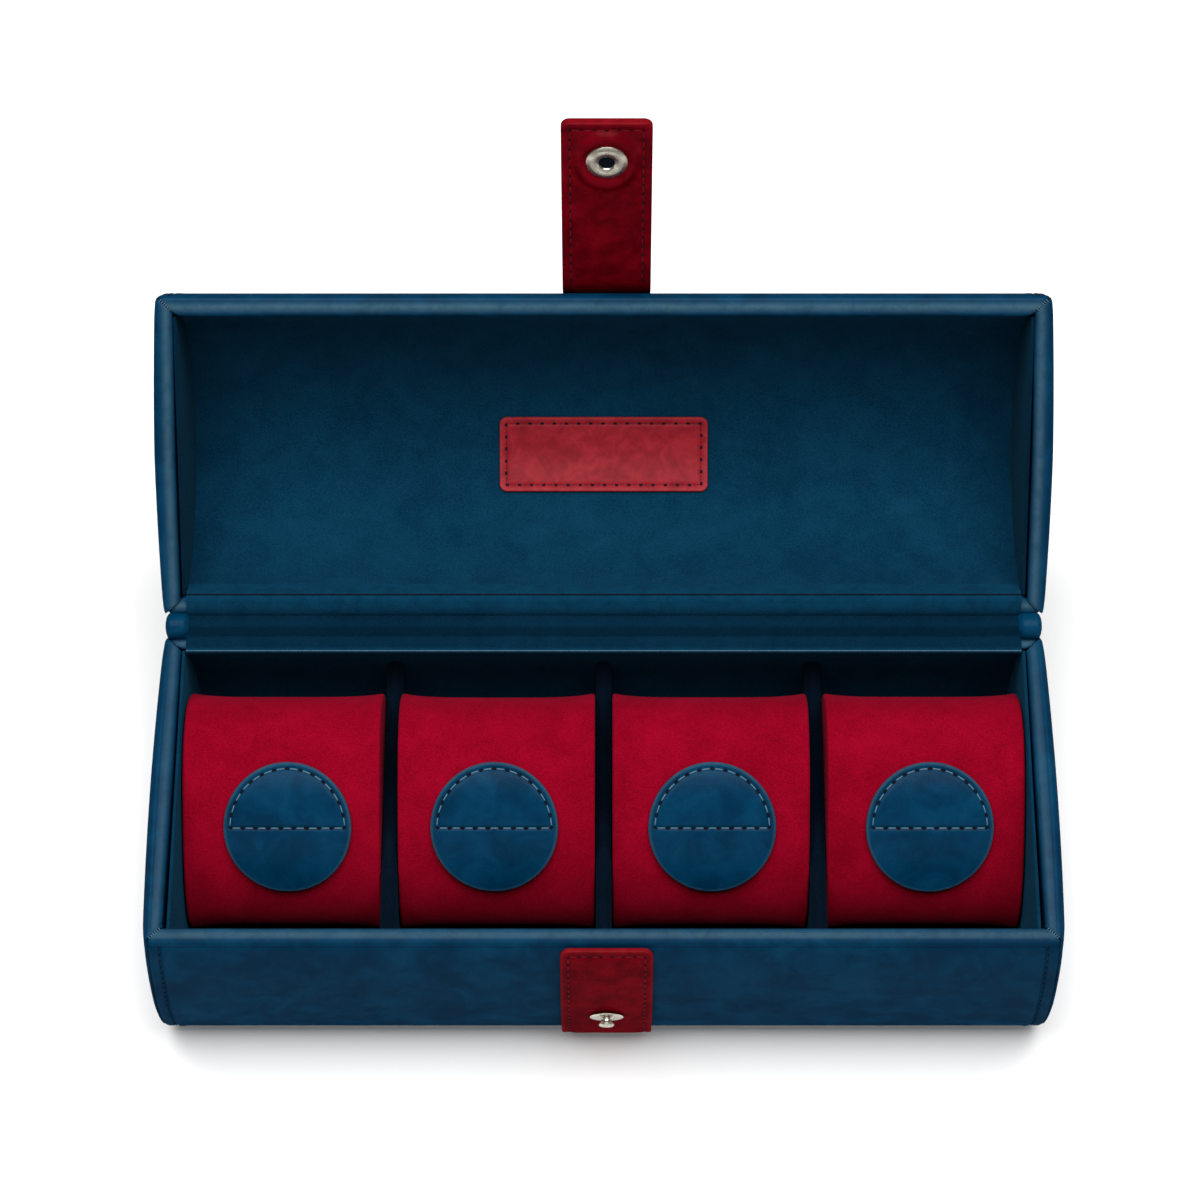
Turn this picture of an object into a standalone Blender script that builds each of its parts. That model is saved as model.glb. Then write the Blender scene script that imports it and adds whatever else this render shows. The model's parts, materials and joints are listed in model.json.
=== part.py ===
# Rounded leather case for four watches, built piece by piece in metres, +Z up, front facing -Y.
# The origin is the middle of the flat underside. The lid stands open, as it does at rest.
import bpy
import bmesh
from math import atan2, cos, pi, radians, sin
from mathutils import Matrix, Vector
from mathutils.geometry import tessellate_polygon

for item in list(bpy.data.objects):
    bpy.data.objects.remove(item, do_unlink=True)

# Case
case_half_length = 0.1390      # to the corners of the rim
rim_half_depth = 0.0517        # from the middle to the outside of the rim, front or back
base_height = 0.076
lid_height = 0.0525
rim_gap = 0.0003               # between the two rims when the case is shut
seat_gap = 0.0003              # left between pieces that touch
cover_thickness = 0.0012       # leather outside
base_board_thickness = 0.0018  # stiff board inside the leather
lid_board_thickness = 0.0037
fold_thickness = 0.001         # leather turned in over the rim
lining_thickness = 0.001
fold_depth_base = 0.006        # how far the turned-in leather reaches down the inside
fold_depth_lid = 0.008
end_thickness = 0.0052
end_bow = 0.0013                # how far the end's rim bows out between its corners
base_end_swell = 0.0018        # how far the middle of a padded end stands out
lid_end_swell = 0.0012
swell_power = 6                # a high power swells soon behind the rim, then lies flat
swell_ring_shares = (0.45, 0.8, 0.92, 1.0)
bow_steps = 8
edge_round = 0.0006

# Half outline of the base from the rim down to the flat underside, as shares of the rim's
# half depth and of the height. The walls swell out below the rim, then turn under.
base_outline_shares = (
    (1.000, 1.000), (1.036, 0.946), (1.070, 0.880), (1.097, 0.800), (1.118, 0.700),
    (1.134, 0.580), (1.140, 0.460), (1.132, 0.340), (1.102, 0.205), (1.026, 0.092),
    (0.896, 0.022), (0.755, 0.000),
)
steps_per_span = 2
lid_outline_power = 1.95       # of the rounded arch: 2 would be an ellipse
lid_outline_steps = 38

# Hinge
hinge_back = 0.0031            # axis behind the back of the rims
roll_radius = 0.00265
roll_half_length = 0.1376
roll_sides = 20
roll_end_round_share = 0.4
lid_open_degrees = 136.5
strip_thickness = 0.001
strip_rebate = 0.0014          # the back rims are this much lower, to seat the suede strip
strip_depth_base = 0.009
strip_depth_lid = 0.018
strip_wall_steps = 4

# Dividers
compartment_count = 4
divider_thickness = 0.0049
divider_drop = 0.0215           # below the rim

# Cushions, and the leather round on each, sewn down over its upper half
cushion_long = 0.0375          # half the long axis of the oval section
cushion_short = 0.0255         # half the short axis
cushion_power = 2.35
cushion_tilt_degrees = 35.0
cushion_centre_y = 0.0065
cushion_centre_z = 0.0405
cushion_sides = 44
cushion_crown_share = 0.014    # how much smaller the section gets from the middle to the ends
cushion_draw_share = 0.05      # and how much its last edge is drawn in
cushion_draw_power = 10
cushion_station_shares = (-1.0, -0.985, -0.95, -0.89, -0.78, -0.6, -0.4, -0.2, 0.0,
                          0.2, 0.4, 0.6, 0.78, 0.89, 0.95, 0.985, 1.0)
face_sides = 240
disc_radius = 0.02
disc_thickness = 0.0016
disc_steps = 9
disc_tip_share = 0.08
disc_shift_shares = (0.1, -0.03, 0.015, 0.055)   # sewn by hand, none quite in the middle
flap_lift = 0.0012             # how far the loose half's tip stands off the cushion

# Strap of two layers, and the snap on it
snap_line_x = 0.0009           # the strap and the front tab sit a little right of the middle
strap_half_width = 0.01375
strap_layer_thickness = 0.0013
strap_start = 0.013            # along the lid's front, from the rim to where the strap bends
strap_length = 0.0706
strap_corner = 0.0026
strap_rest_degrees = 56.5      # from hanging straight down, in the lid's own frame
anchor_length = 0.034          # of the part that is sewn to the lid
snap_from_bend = 0.056
snap_hole_radius = 0.0022
cap_radius = 0.0063
cap_height = 0.0018
cap_dome_shares = ((0.0, 1.0), (0.5, 0.95), (0.85, 0.75), (1.0, 0.35), (1.0, 0.0))
post_radius = 0.0018
socket_radius = 0.0066
socket_height = 0.0019
socket_mouth_radius = 0.003
socket_floor = 0.0004
socket_ring_shares = ((1.0, 0.0), (1.0, 0.35), (0.88, 0.85), (0.7, 1.0), (0.52, 0.9))
socket_lip_share = 0.6
round_sides = 32
corner_steps = 5

# Front tab and the stud on it
tab_half_width = 0.0142
tab_thickness = 0.0018
tab_top_drop = 0.0022          # below the rim
tab_bottom_z = 0.0062
tab_corner = 0.003
tab_steps = 12
stud_drop = 0.0402             # below the rim
stud_flange_radius = 0.0053
stud_flange_height = 0.0008
stud_flange_shares = ((0.8, 1.0), (1.0, 0.5), (1.0, 0.0))
stud_neck_radius = 0.0019
stud_knob_radius = 0.0025
stud_height = 0.0036
stud_knob_shares = ((0.0, 1.0), (0.3, 1.0), (0.85, 0.93), (1.0, 0.75))
stud_neck_share = 0.55

# Label patch in the lid, left bare
label_half_width = 0.0338
label_length = 0.025
label_thickness = 0.0012
label_from_front = 0.0619       # of its middle, level with the rim, from the front
label_corner = 0.0025
label_steps = 6
overrun = 0.002                # how far a cutter runs past what it cuts

# Colours (linear), roughness, metallic
blue_leather = ((0.012, 0.05, 0.11), 0.42, 0.0)
blue_suede = ((0.004, 0.028, 0.06), 0.95, 0.0)
board_grey = ((0.18, 0.16, 0.14), 0.9, 0.0)
red_suede = ((0.3, 0.0, 0.018), 0.9, 0.0)
red_leather = ((0.16, 0.004, 0.014), 0.45, 0.0)
snap_metal = ((0.72, 0.7, 0.66), 0.28, 1.0)
look_names = {blue_leather: "blue_leather", blue_suede: "blue_suede", board_grey: "board",
              red_suede: "red_suede", red_leather: "red_leather", snap_metal: "snap_metal"}

case = bpy.data.collections.new("watch_case")
bpy.context.scene.collection.children.link(case)
cutters = bpy.data.collections.new("cutters")
bpy.context.scene.collection.children.link(cutters)
made_materials = {}


def material(look):
    name = look_names[look]
    if name not in made_materials:
        made = bpy.data.materials.new(name)
        made.use_nodes = True
        shader = made.node_tree.nodes["Principled BSDF"]
        colour, roughness, metallic = look
        shader.inputs["Base Color"].default_value = (*colour, 1.0)
        shader.inputs["Roughness"].default_value = roughness
        shader.inputs["Metallic"].default_value = metallic
        made_materials[name] = made
    return made_materials[name]


def add_piece(name, shape, look, parent=None):
    piece = bpy.data.objects.new(name, shape)
    case.objects.link(piece)
    if not shape.materials:
        shape.materials.append(material(look))
    piece.parent = parent
    return piece


def round_edges(piece, width):
    bevel = piece.modifiers.new("Rounded edges", "BEVEL")
    bevel.width = width
    bevel.segments = 2
    bevel.limit_method = "ANGLE"
    bevel.angle_limit = radians(50)


def mesh_from(name, points, faces):
    mesh = bpy.data.meshes.new(name)
    shape = bmesh.new()
    corners = [shape.verts.new(p) for p in points]
    for face in faces:
        shape.faces.new([corners[i] for i in face])
    wide = [f for f in shape.faces if len(f.verts) > 4]
    bmesh.ops.triangulate(shape, faces=wide, ngon_method="EAR_CLIP")
    bmesh.ops.recalc_face_normals(shape, faces=shape.faces)
    shape.to_mesh(mesh)
    shape.free()
    return mesh


# Lines in the case's cross-section are lists of (y, z)

def smooth_line(points, steps):
    # a curve through the points: between two points it is the cubic whose slopes at its ends
    # are half the step from the point before to the point after
    line = []
    for i in range(len(points) - 1):
        before = Vector(points[max(i - 1, 0)])
        start = Vector(points[i])
        end = Vector(points[i + 1])
        after = Vector(points[min(i + 2, len(points) - 1)])
        out = (end - before) * 0.5
        into = (after - start) * 0.5
        for k in range(steps):
            t = k / steps
            line.append(
                start * (2 * t ** 3 - 3 * t ** 2 + 1) + out * (t ** 3 - 2 * t ** 2 + t)
                + end * (3 * t ** 2 - 2 * t ** 3) + into * (t ** 3 - t ** 2)
            )
    line.append(Vector(points[-1]))
    return line


def side_normals(line):
    # unit normals to the left of the way the line runs
    normals = []
    for i in range(len(line)):
        before = line[max(i - 1, 0)]
        after = line[min(i + 1, len(line) - 1)]
        along = (after - before).normalized()
        normals.append(Vector((-along.y, along.x)))
    return normals


def level_start(line, height):
    # the start of the line lengthened or cut so that it begins at the height
    line = list(line)
    upward = line[0].y > line[1].y
    while len(line) > 2 and (line[1].y > height) == upward:
        line.pop(0)
    along = line[0] - line[1]
    line[0] = line[1] + along * ((height - line[1].y) / along.y)
    return line


def cut_start(line, height):
    # the part of the line beyond the first place where it crosses the height
    for i in range(len(line) - 1):
        if (line[i].y - height) * (line[i + 1].y - height) <= 0 and line[i].y != line[i + 1].y:
            share = (height - line[i].y) / (line[i + 1].y - line[i].y)
            return [line[i].lerp(line[i + 1], share)] + list(line[i + 1:])
    return list(line)


def shifted(line, distance):
    # the line moved sideways into the case, with both its ends brought to the rim's height
    moved = [p + n * distance for p, n in zip(line, side_normals(line))]
    rim = line[0].y
    return level_start(level_start(moved, rim)[::-1], rim)[::-1]


def layer_line(line, distance, front_top, back_top):
    return cut_start(cut_start(shifted(line, distance), front_top)[::-1], back_top)[::-1]


def down_wall(line, high, low):
    # the first stretch of the line, from one height down to a lower one
    stretch = []
    for point in cut_start(line, high):
        if point.y <= low:
            break
        stretch.append(point)
    return stretch + [cut_start(line, low)[0]]


def lengths_along(line):
    total = [0.0]
    for a, b in zip(line, line[1:]):
        total.append(total[-1] + (b - a).length)
    return total


def at_length(line, length):
    # the point at a length along the line, and the unit vector along it there
    total = lengths_along(line)
    i = 0
    while total[i + 1] < length and i < len(line) - 2:
        i += 1
    share = (length - total[i]) / (total[i + 1] - total[i])
    return line[i].lerp(line[i + 1], share), (line[i + 1] - line[i]).normalized()


def turned_left(way):
    return Vector((-way.y, way.x))


def prism(name, ring, half_lengths):
    # a closed ring of (y, z) run along X between minus and plus a half length for each point
    count = len(ring)
    points = [(-h, p.x, p.y) for p, h in zip(ring, half_lengths)]
    points += [(h, p.x, p.y) for p, h in zip(ring, half_lengths)]
    faces = [(i, (i + 1) % count, count + (i + 1) % count, count + i) for i in range(count)]
    flat = [Vector((p.x, p.y, 0.0)) for p in ring]
    for a, b, c in tessellate_polygon([flat]):
        faces.append((a, b, c))
        faces.append((count + c, count + b, count + a))
    return mesh_from(name, points, faces)


def sheet(name, near, far, half_widths):
    # a sheet between two lines of as many points each, with a half width for each point
    rows = []
    for a, b, h in zip(near, far, half_widths):
        rows.append(((-h, *a), (h, *a), (h, *b), (-h, *b)))
    points = [p for row in rows for p in row]
    faces = [(0, 1, 2, 3)]
    for r in range(len(rows) - 1):
        for j in range(4):
            a, b = 4 * r + j, 4 * r + (j + 1) % 4
            faces.append((a, b, b + 4, a + 4))
    last = 4 * (len(rows) - 1)
    faces.append((last + 3, last + 2, last + 1, last))
    return mesh_from(name, points, faces)


def corner_stations(length, half_width, corner, steps, round_start, round_end):
    # places along a sheet and its half width at each, with its end corners rounded
    stations = []
    arc = [pi / 2 * k / corner_steps for k in range(corner_steps + 1)]
    starts = corner if round_start else 0.0
    ends = corner if round_end else 0.0
    if round_start:
        stations += [(corner * (1 - cos(t)), half_width - corner * (1 - sin(t))) for t in arc[:-1]]
    for k in range(steps + 1):
        stations.append((starts + (length - starts - ends) * k / steps, half_width))
    if round_end:
        stations += [(length - corner * (1 - cos(t)), half_width - corner * (1 - sin(t)))
                     for t in arc[-2::-1]]
    return stations


def sheet_along(name, line, start, stations, near, thickness, side):
    # a sheet laid along a line, to its left where side is 1 and to its right where it is -1
    first, second = [], []
    for distance, half_width in stations:
        point, way = at_length(line, start + distance)
        out = turned_left(way) * side
        first.append(point + out * near)
        second.append(point + out * (near + thickness))
    return sheet(name, first, second, [half_width for distance, half_width in stations])


# Walls: leather outside, a stiff board, and inside it the leather's fold and the lining

def wall_depths(board_thickness):
    # how deep under the outside each layer starts and ends
    board_far = cover_thickness + seat_gap + board_thickness
    return {
        "board": (cover_thickness + seat_gap, board_far),
        "fold": (board_far + seat_gap, board_far + seat_gap + fold_thickness),
        "lining": (board_far + seat_gap, board_far + seat_gap + lining_thickness),
        "clear": board_far + 2 * seat_gap + max(fold_thickness, lining_thickness),
    }


def folded_cover(name, line, depths, back_top, fold_front, fold_back):
    # leather over the outside, turned over both rims and a little way down the inside, with
    # its ends mitred to meet the end panels
    front_top = line[0].y
    near, far = depths["fold"]
    runs = [(layer_line(line, 0.0, front_top, back_top), 0.0)]
    inner = shifted(line, far)[::-1]
    runs.append((down_wall(inner, back_top, back_top - fold_back), far))
    inner = shifted(line, near)[::-1]
    under = back_top - cover_thickness
    runs.append((down_wall(inner, under, back_top - fold_back)[::-1], near))
    under = front_top - cover_thickness
    skin = layer_line(line, cover_thickness, under, back_top - cover_thickness)
    runs.append((skin[::-1], cover_thickness))
    inner = shifted(line, near)
    runs.append((down_wall(inner, under, front_top - fold_front), near))
    inner = shifted(line, far)
    runs.append((down_wall(inner, front_top, front_top - fold_front)[::-1], far))
    ring = [point for run, depth in runs for point in run]
    half_lengths = [case_half_length - depth for run, depth in runs for point in run]
    return prism(name, ring, half_lengths)


def wall_layer(name, line, layer, front_top, back_top, half_lengths):
    # a layer of the wall between two depths, with a half length at each of them
    near = layer_line(line, layer[0], front_top, back_top)
    far = layer_line(line, layer[1], front_top, back_top)[::-1]
    halves = [half_lengths[0]] * len(near) + [half_lengths[1]] * len(far)
    return prism(name, near + far, halves)


def filled(points, ring, first, second):
    # triangles over the ring's points, laid out by two of their coordinates
    flat = [Vector((points[i][first], points[i][second], 0.0)) for i in ring]
    return [tuple(ring[i] for i in three) for three in tessellate_polygon([flat])]


def end_panel(name, line, side, height, swell):
    # a padded end: its rim bows out, its outside swells behind the rim, and its edge is mitred
    top = line[0].y
    outside = case_half_length + seat_gap * 2 ** 0.5
    wall = layer_line(line, 0.0, top, top)
    inner = layer_line(line, end_thickness, top, top)
    rim = [wall[-1].lerp(wall[0], k / bow_steps) for k in range(1, bow_steps)]
    outer = wall + rim
    count = len(outer)
    middle = sum(wall, Vector((0.0, 0.0))) / len(wall)

    def bow(point):
        across = max(1 - (point.x / rim_half_depth) ** 2, 0.0)
        return end_bow * across * max(1 - 2 * (top - point.y) / height, 0.0)

    points = []
    for share in swell_ring_shares:
        for corner in outer:
            point = middle.lerp(corner, share)
            out = outside + bow(point) + swell * (1 - share ** swell_power)
            points.append((side * out, point.x, point.y))
    points += [(side * (outside - end_thickness), p.x, p.y) for p in inner]
    faces = filled(points, list(range(count)), 1, 2)
    for r in range(len(swell_ring_shares) - 1):
        for k in range(count):
            a, b = r * count + k, r * count + (k + 1) % count
            faces.append((a, b, b + count, a + count))
    edge = (len(swell_ring_shares) - 1) * count
    first = edge + count
    last = first + len(inner) - 1
    mitre = list(range(edge, edge + len(wall))) + list(range(last, first - 1, -1))
    faces += filled(points, mitre, 1, 2)
    flat_rim = list(range(edge + len(wall) - 1, edge + count)) + [edge, first, last]
    faces += filled(points, flat_rim, 0, 1)
    faces += filled(points, list(range(first, last + 1)), 1, 2)
    return mesh_from(name, points, faces)


def end_sheet(name, line, side, depth, top):
    ring = layer_line(line, depth, top, top)
    near = side * lining_half_length
    far = side * (lining_half_length - lining_thickness)
    points = [(near, p.x, p.y) for p in ring] + [(far, p.x, p.y) for p in ring]
    count = len(ring)
    faces = [tuple(range(count)), tuple(range(count, 2 * count))]
    faces += [(k, (k + 1) % count, count + (k + 1) % count, count + k) for k in range(count)]
    return mesh_from(name, points, faces)


def rim_strip(name, line, depths, back_top, depth):
    # suede up the inside of the back wall, over its lowered rim and out to the outer corner
    near = depths["clear"]
    over = back_top + seat_gap
    inside_half = lining_half_length - lining_thickness - seat_gap
    walls = []
    for distance, high in ((near, over), (near + strip_thickness, over + strip_thickness)):
        wall = down_wall(shifted(line, distance)[::-1], high, back_top - depth)
        total = lengths_along(wall)[-1]
        shares = [k / strip_wall_steps for k in range(strip_wall_steps, -1, -1)]
        run = [at_length(wall, total * share)[0] for share in shares]
        run.append(Vector((line[-1].x - seat_gap, high)))
        walls.append(run)
    return sheet(name, walls[0], walls[1], [inside_half] * len(walls[0]))


lining_half_length = case_half_length - end_thickness - seat_gap
base_depths = wall_depths(base_board_thickness)
lid_depths = wall_depths(lid_board_thickness)
board_top_drop = cover_thickness + seat_gap


def make_shell(word, line, height, depths, fold_front, swell, strip_depth, place, parent):
    # all that the base and the lid have alike, made with the rim up and then put in place
    rim = line[0].y
    back_top = rim - strip_rebate
    cover = folded_cover(word + "_cover", line, depths, back_top, fold_front, fold_depth_base)
    piece = add_piece(word + "_cover", place(cover), blue_leather, parent)
    round_edges(piece, edge_round)
    board = wall_layer(
        word + "_board", line, depths["board"], rim - board_top_drop, back_top - board_top_drop,
        [case_half_length - depth for depth in depths["board"]])
    add_piece(word + "_board", place(board), board_grey, parent)
    lining = wall_layer(
        word + "_lining", line, depths["lining"], rim - fold_front - seat_gap,
        back_top - fold_depth_base - seat_gap, [lining_half_length] * 2)
    add_piece(word + "_lining", place(lining), blue_suede, parent)
    for side, hand in ((-1, "left"), (1, "right")):
        name = word + "_end_" + hand
        panel = end_panel(name, line, side, height, swell)
        piece = add_piece(name, place(panel), blue_leather, parent)
        round_edges(piece, edge_round)
        name = word + "_end_lining_" + hand
        lining = end_sheet(name, line, side, depths["clear"], rim - cover_thickness)
        add_piece(name, place(lining), blue_suede, parent)
    name = "hinge_strip_" + word
    strip = rim_strip(name, line, depths, back_top, strip_depth)
    add_piece(name, place(strip), blue_suede, parent)


# Base: its outside line runs from the front rim, under the case, to the back rim
half = [(-y * rim_half_depth, z * base_height) for y, z in base_outline_shares]
front_side = smooth_line(half, steps_per_span)
base_line = front_side + [Vector((-p.x, p.y)) for p in front_side[::-1]]
make_shell("base", base_line, base_height, base_depths, fold_depth_base, base_end_swell,
           strip_depth_base, lambda mesh: mesh, None)

# The lid's joint
hinge_point = Vector((0.0, rim_half_depth + hinge_back, base_height + rim_gap * 0.5))
lid_joint = bpy.data.objects.new("lid_hinge_point", None)
lid_joint.location = hinge_point
lid_joint.rotation_euler = (-radians(lid_open_degrees), 0.0, 0.0)
case.objects.link(lid_joint)
lid_shift = Vector((0.0, -rim_half_depth - hinge_back, rim_gap * 0.5))


def arch_side(value, power):
    return (1 if value > 0 else -1) * abs(value) ** (2 / power)


# Lid: its line is the same way round with its rim at height 0 and the arch hanging below
lid_line = []
for k in range(lid_outline_steps + 1):
    turn = pi * k / lid_outline_steps
    lid_line.append(Vector((-rim_half_depth * arch_side(cos(turn), lid_outline_power),
                            -lid_height * arch_side(sin(turn), lid_outline_power))))


def lid_up(mesh):
    # turns what was made hanging over in height, and moves it from the rim to the lid's joint
    mesh.transform(Matrix.Scale(-1.0, 4, (0.0, 0.0, 1.0)))
    mesh.flip_normals()
    mesh.transform(Matrix.Translation(lid_shift))
    return mesh


make_shell("lid", lid_line, lid_height, lid_depths, fold_depth_lid, lid_end_swell,
           strip_depth_lid, lid_up, lid_joint)

# Roll of leather that the hinge folds on
roll_mesh = bpy.data.meshes.new("hinge_roll")
shape = bmesh.new()
bmesh.ops.create_cone(
    shape, cap_ends=True, segments=roll_sides, radius1=roll_radius, radius2=roll_radius,
    depth=2 * roll_half_length, matrix=Matrix.Rotation(pi / 2, 4, "Y"))
shape.to_mesh(roll_mesh)
shape.free()
roll_mesh.shade_smooth()
roll_mesh.set_sharp_from_angle(angle=radians(40))
roll = add_piece("hinge_roll", roll_mesh, blue_leather)
roll.location = hinge_point
round_edges(roll, roll_radius * roll_end_round_share)

# Dividers
inside_half_length = lining_half_length - lining_thickness - seat_gap
pitch = (2 * inside_half_length + divider_thickness) / compartment_count
first_divider = -inside_half_length - divider_thickness * 0.5
cushion_half_width = (pitch - divider_thickness) * 0.5 - seat_gap
divider_top = base_height - divider_drop
divider_ring = layer_line(base_line, base_depths["clear"], divider_top, divider_top)
divider_mesh = prism("divider", divider_ring, [divider_thickness * 0.5] * len(divider_ring))
for number in range(1, compartment_count):
    divider = add_piece("divider_%d" % number, divider_mesh, blue_suede)
    divider.location = (first_divider + number * pitch, 0.0, 0.0)

# Cushions: a tilted oval section carried along X, smaller towards its two ends
tilt = radians(cushion_tilt_degrees)
long_way = Vector((cos(tilt), sin(tilt)))


def cushion_point(turn):
    a = cushion_long * arch_side(cos(turn), cushion_power)
    b = cushion_short * arch_side(sin(turn), cushion_power)
    return long_way * a + turned_left(long_way) * b


cushion_section = [cushion_point(2 * pi * k / cushion_sides) for k in range(cushion_sides)]
points = []
for station in cushion_station_shares:
    grow = (1 - cushion_crown_share * station ** 2
            - cushion_draw_share * abs(station) ** cushion_draw_power)
    points += [(station * cushion_half_width, p.x * grow, p.y * grow) for p in cushion_section]
faces = [tuple(range(cushion_sides))]
for r in range(len(cushion_station_shares) - 1):
    for k in range(cushion_sides):
        a = r * cushion_sides + k
        b = r * cushion_sides + (k + 1) % cushion_sides
        faces.append((a, b, b + cushion_sides, a + cushion_sides))
last = (len(cushion_station_shares) - 1) * cushion_sides
faces.append(tuple(range(last, last + cushion_sides)))
cushion_mesh = mesh_from("cushion", points, faces)
cushion_mesh.shade_smooth()
cushion_mesh.set_sharp_from_angle(angle=radians(50))

# The face that the round lies on, from high at the back to low at the front
face_line = [cushion_point(pi * k / face_sides) for k in range(face_sides + 1)]
face_middle = lengths_along(face_line)[-1] * 0.5


def half_disc(name, start, end, lift, origin):
    # half of a round of leather that follows the cushion's face. start and end are lengths
    # along the face from the round's middle, and lift is how far its far edge stands off.
    near, far, half_widths = [], [], []
    for k in range(disc_steps + 1):
        share = k / disc_steps
        along = start + (end - start) * sin(share * pi / 2)
        half_width = max(disc_radius ** 2 - along ** 2, 0.0) ** 0.5
        half_widths.append(max(half_width, disc_radius * disc_tip_share))
        point, way = at_length(face_line, face_middle + along)
        out = -turned_left(way)
        near.append(point + out * (seat_gap + lift * share ** 2) - origin)
        far.append(near[-1] + out * disc_thickness)
    return sheet(name, near, far, half_widths)


point, way = at_length(face_line, face_middle)
# it lifts about the top of its own edge, so that the edge swings clear of the sewn half
flap_axis = point - turned_left(way) * (seat_gap + disc_thickness)
sewn_mesh = half_disc("disc_sewn", -seat_gap * 0.5, -disc_radius, 0.0, Vector((0.0, 0.0)))
loose_mesh = half_disc("disc_loose", seat_gap * 0.5, disc_radius, flap_lift, flap_axis)
for number in range(1, compartment_count + 1):
    cushion = add_piece("cushion_%d" % number, cushion_mesh, red_suede)
    cushion.location = (first_divider + (number - 0.5) * pitch, cushion_centre_y, cushion_centre_z)
    shift = disc_radius * disc_shift_shares[(number - 1) % len(disc_shift_shares)]
    sewn = add_piece("disc_sewn_%d" % number, sewn_mesh, blue_leather, cushion)
    sewn.location = (shift, 0.0, 0.0)
    loose = add_piece("disc_loose_%d" % number, loose_mesh, blue_leather, cushion)
    loose.location = (shift, flap_axis.x, flap_axis.y)

# Strap: one part sewn to the lid's front, and one that swings from the bend
strap_thickness = 2 * strap_layer_thickness + seat_gap
bend_clear = strap_thickness * 0.5 + seat_gap
stations = corner_stations(anchor_length - bend_clear, strap_half_width, strap_corner,
                           tab_steps, False, True)
anchor_mesh = sheet_along("strap_anchor", lid_line, strap_start + bend_clear, stations,
                          seat_gap, strap_thickness, -1)
anchor = add_piece("strap_anchor", lid_up(anchor_mesh), red_leather, lid_joint)
anchor.location = (snap_line_x, 0.0, 0.0)
bend, bend_way = at_length(lid_line, strap_start)
bend -= turned_left(bend_way) * bend_clear
strap_joint = bpy.data.objects.new("strap_hinge_point", None)
strap_joint.parent = lid_joint
strap_joint.location = Vector((snap_line_x, bend.x, -bend.y)) + lid_shift
# made hanging straight down, then turned out to its place at rest
strap_joint.rotation_euler = (-radians(strap_rest_degrees), 0.0, 0.0)
case.objects.link(strap_joint)


def strap_outline():
    # in the strap's own plane, with its two far corners rounded
    outline = [(-strap_half_width, 0.0), (strap_half_width, 0.0)]
    for side in (1, -1):
        arc = [pi / 2 * k / corner_steps for k in range(corner_steps + 1)]
        for turn in arc[::side]:
            outline.append((side * (strap_half_width - strap_corner * (1 - cos(turn))),
                            -strap_length + strap_corner * (1 - sin(turn))))
    return outline


def flat_outline(curve, outline):
    spline = curve.splines.new("POLY")
    spline.points.add(len(outline) - 1)
    spline.use_cyclic_u = True
    for point, (x, y) in zip(spline.points, outline):
        point.co = (x, y, 0.0, 1.0)


def strap_layer(name, from_middle):
    curve = bpy.data.curves.new(name, "CURVE")
    curve.dimensions = "2D"
    curve.fill_mode = "BOTH"
    curve.extrude = strap_layer_thickness * 0.5
    flat_outline(curve, strap_outline())
    turns = [2 * pi * k / round_sides for k in range(round_sides)]
    flat_outline(curve, [(snap_hole_radius * cos(t), snap_hole_radius * sin(t) - snap_from_bend)
                         for t in turns])
    layer = add_piece(name, curve, red_leather, strap_joint)
    layer.rotation_euler = (pi / 2, 0.0, 0.0)
    layer.location = (0.0, from_middle, 0.0)


layer_offset = (strap_layer_thickness + seat_gap) * 0.5
strap_layer("strap_outer", -layer_offset)
strap_layer("strap_lining", layer_offset)


def turned_piece(name, profile, closed, parent, location, rotation):
    # a profile of (radius, height) that runs down its outer side, turned about Z
    mesh = bpy.data.meshes.new(name)
    edges = [(k, k + 1) for k in range(len(profile) - 1)]
    if closed:
        edges.append((len(profile) - 1, 0))
    mesh.from_pydata([(radius, 0.0, height) for radius, height in profile], edges, [])
    piece = add_piece(name, mesh, snap_metal, parent)
    screw = piece.modifiers.new("Turned", "SCREW")
    screw.steps = round_sides
    screw.render_steps = round_sides
    screw.use_merge_vertices = True
    screw.merge_threshold = 0.00001
    screw.use_smooth_shade = True
    piece.location = location
    piece.rotation_euler = rotation
    return piece


# Snap: the cap and its post come through from the strap's outside, the socket is inside
snap_at = (0.0, 0.0, -snap_from_bend)
across = (pi / 2, 0.0, 0.0)
cap_seat = strap_thickness * 0.5 + seat_gap
profile = [(cap_radius * r, cap_seat + cap_height * h) for r, h in cap_dome_shares]
profile.append((post_radius, cap_seat))
profile.append((post_radius, -cap_seat - seat_gap))
profile.append((0.0, -cap_seat - seat_gap))
turned_piece("snap_cap", profile, False, strap_joint, snap_at, across)

profile = [(socket_radius * r, -cap_seat - socket_height * h) for r, h in socket_ring_shares]
profile.append((socket_mouth_radius, -cap_seat - socket_height * socket_lip_share))
profile.append((socket_mouth_radius, -cap_seat - socket_floor))
profile.append((post_radius + seat_gap, -cap_seat - socket_floor))
profile.append((post_radius + seat_gap, -cap_seat))
turned_piece("snap_socket", profile, True, strap_joint, snap_at, across)

# Front tab, sewn to the front of the base, and the stud that the socket closes on
front_line = cut_start(base_line, base_height - tab_top_drop)
tab_reach = lengths_along(down_wall(front_line, front_line[0].y, tab_bottom_z))[-1]
stations = corner_stations(tab_reach, tab_half_width, tab_corner, tab_steps, True, False)
front_tab = add_piece("front_tab", sheet_along(
    "front_tab", front_line, 0.0, stations, seat_gap, tab_thickness, -1), red_leather)
front_tab.location = (snap_line_x, 0.0, 0.0)

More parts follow.
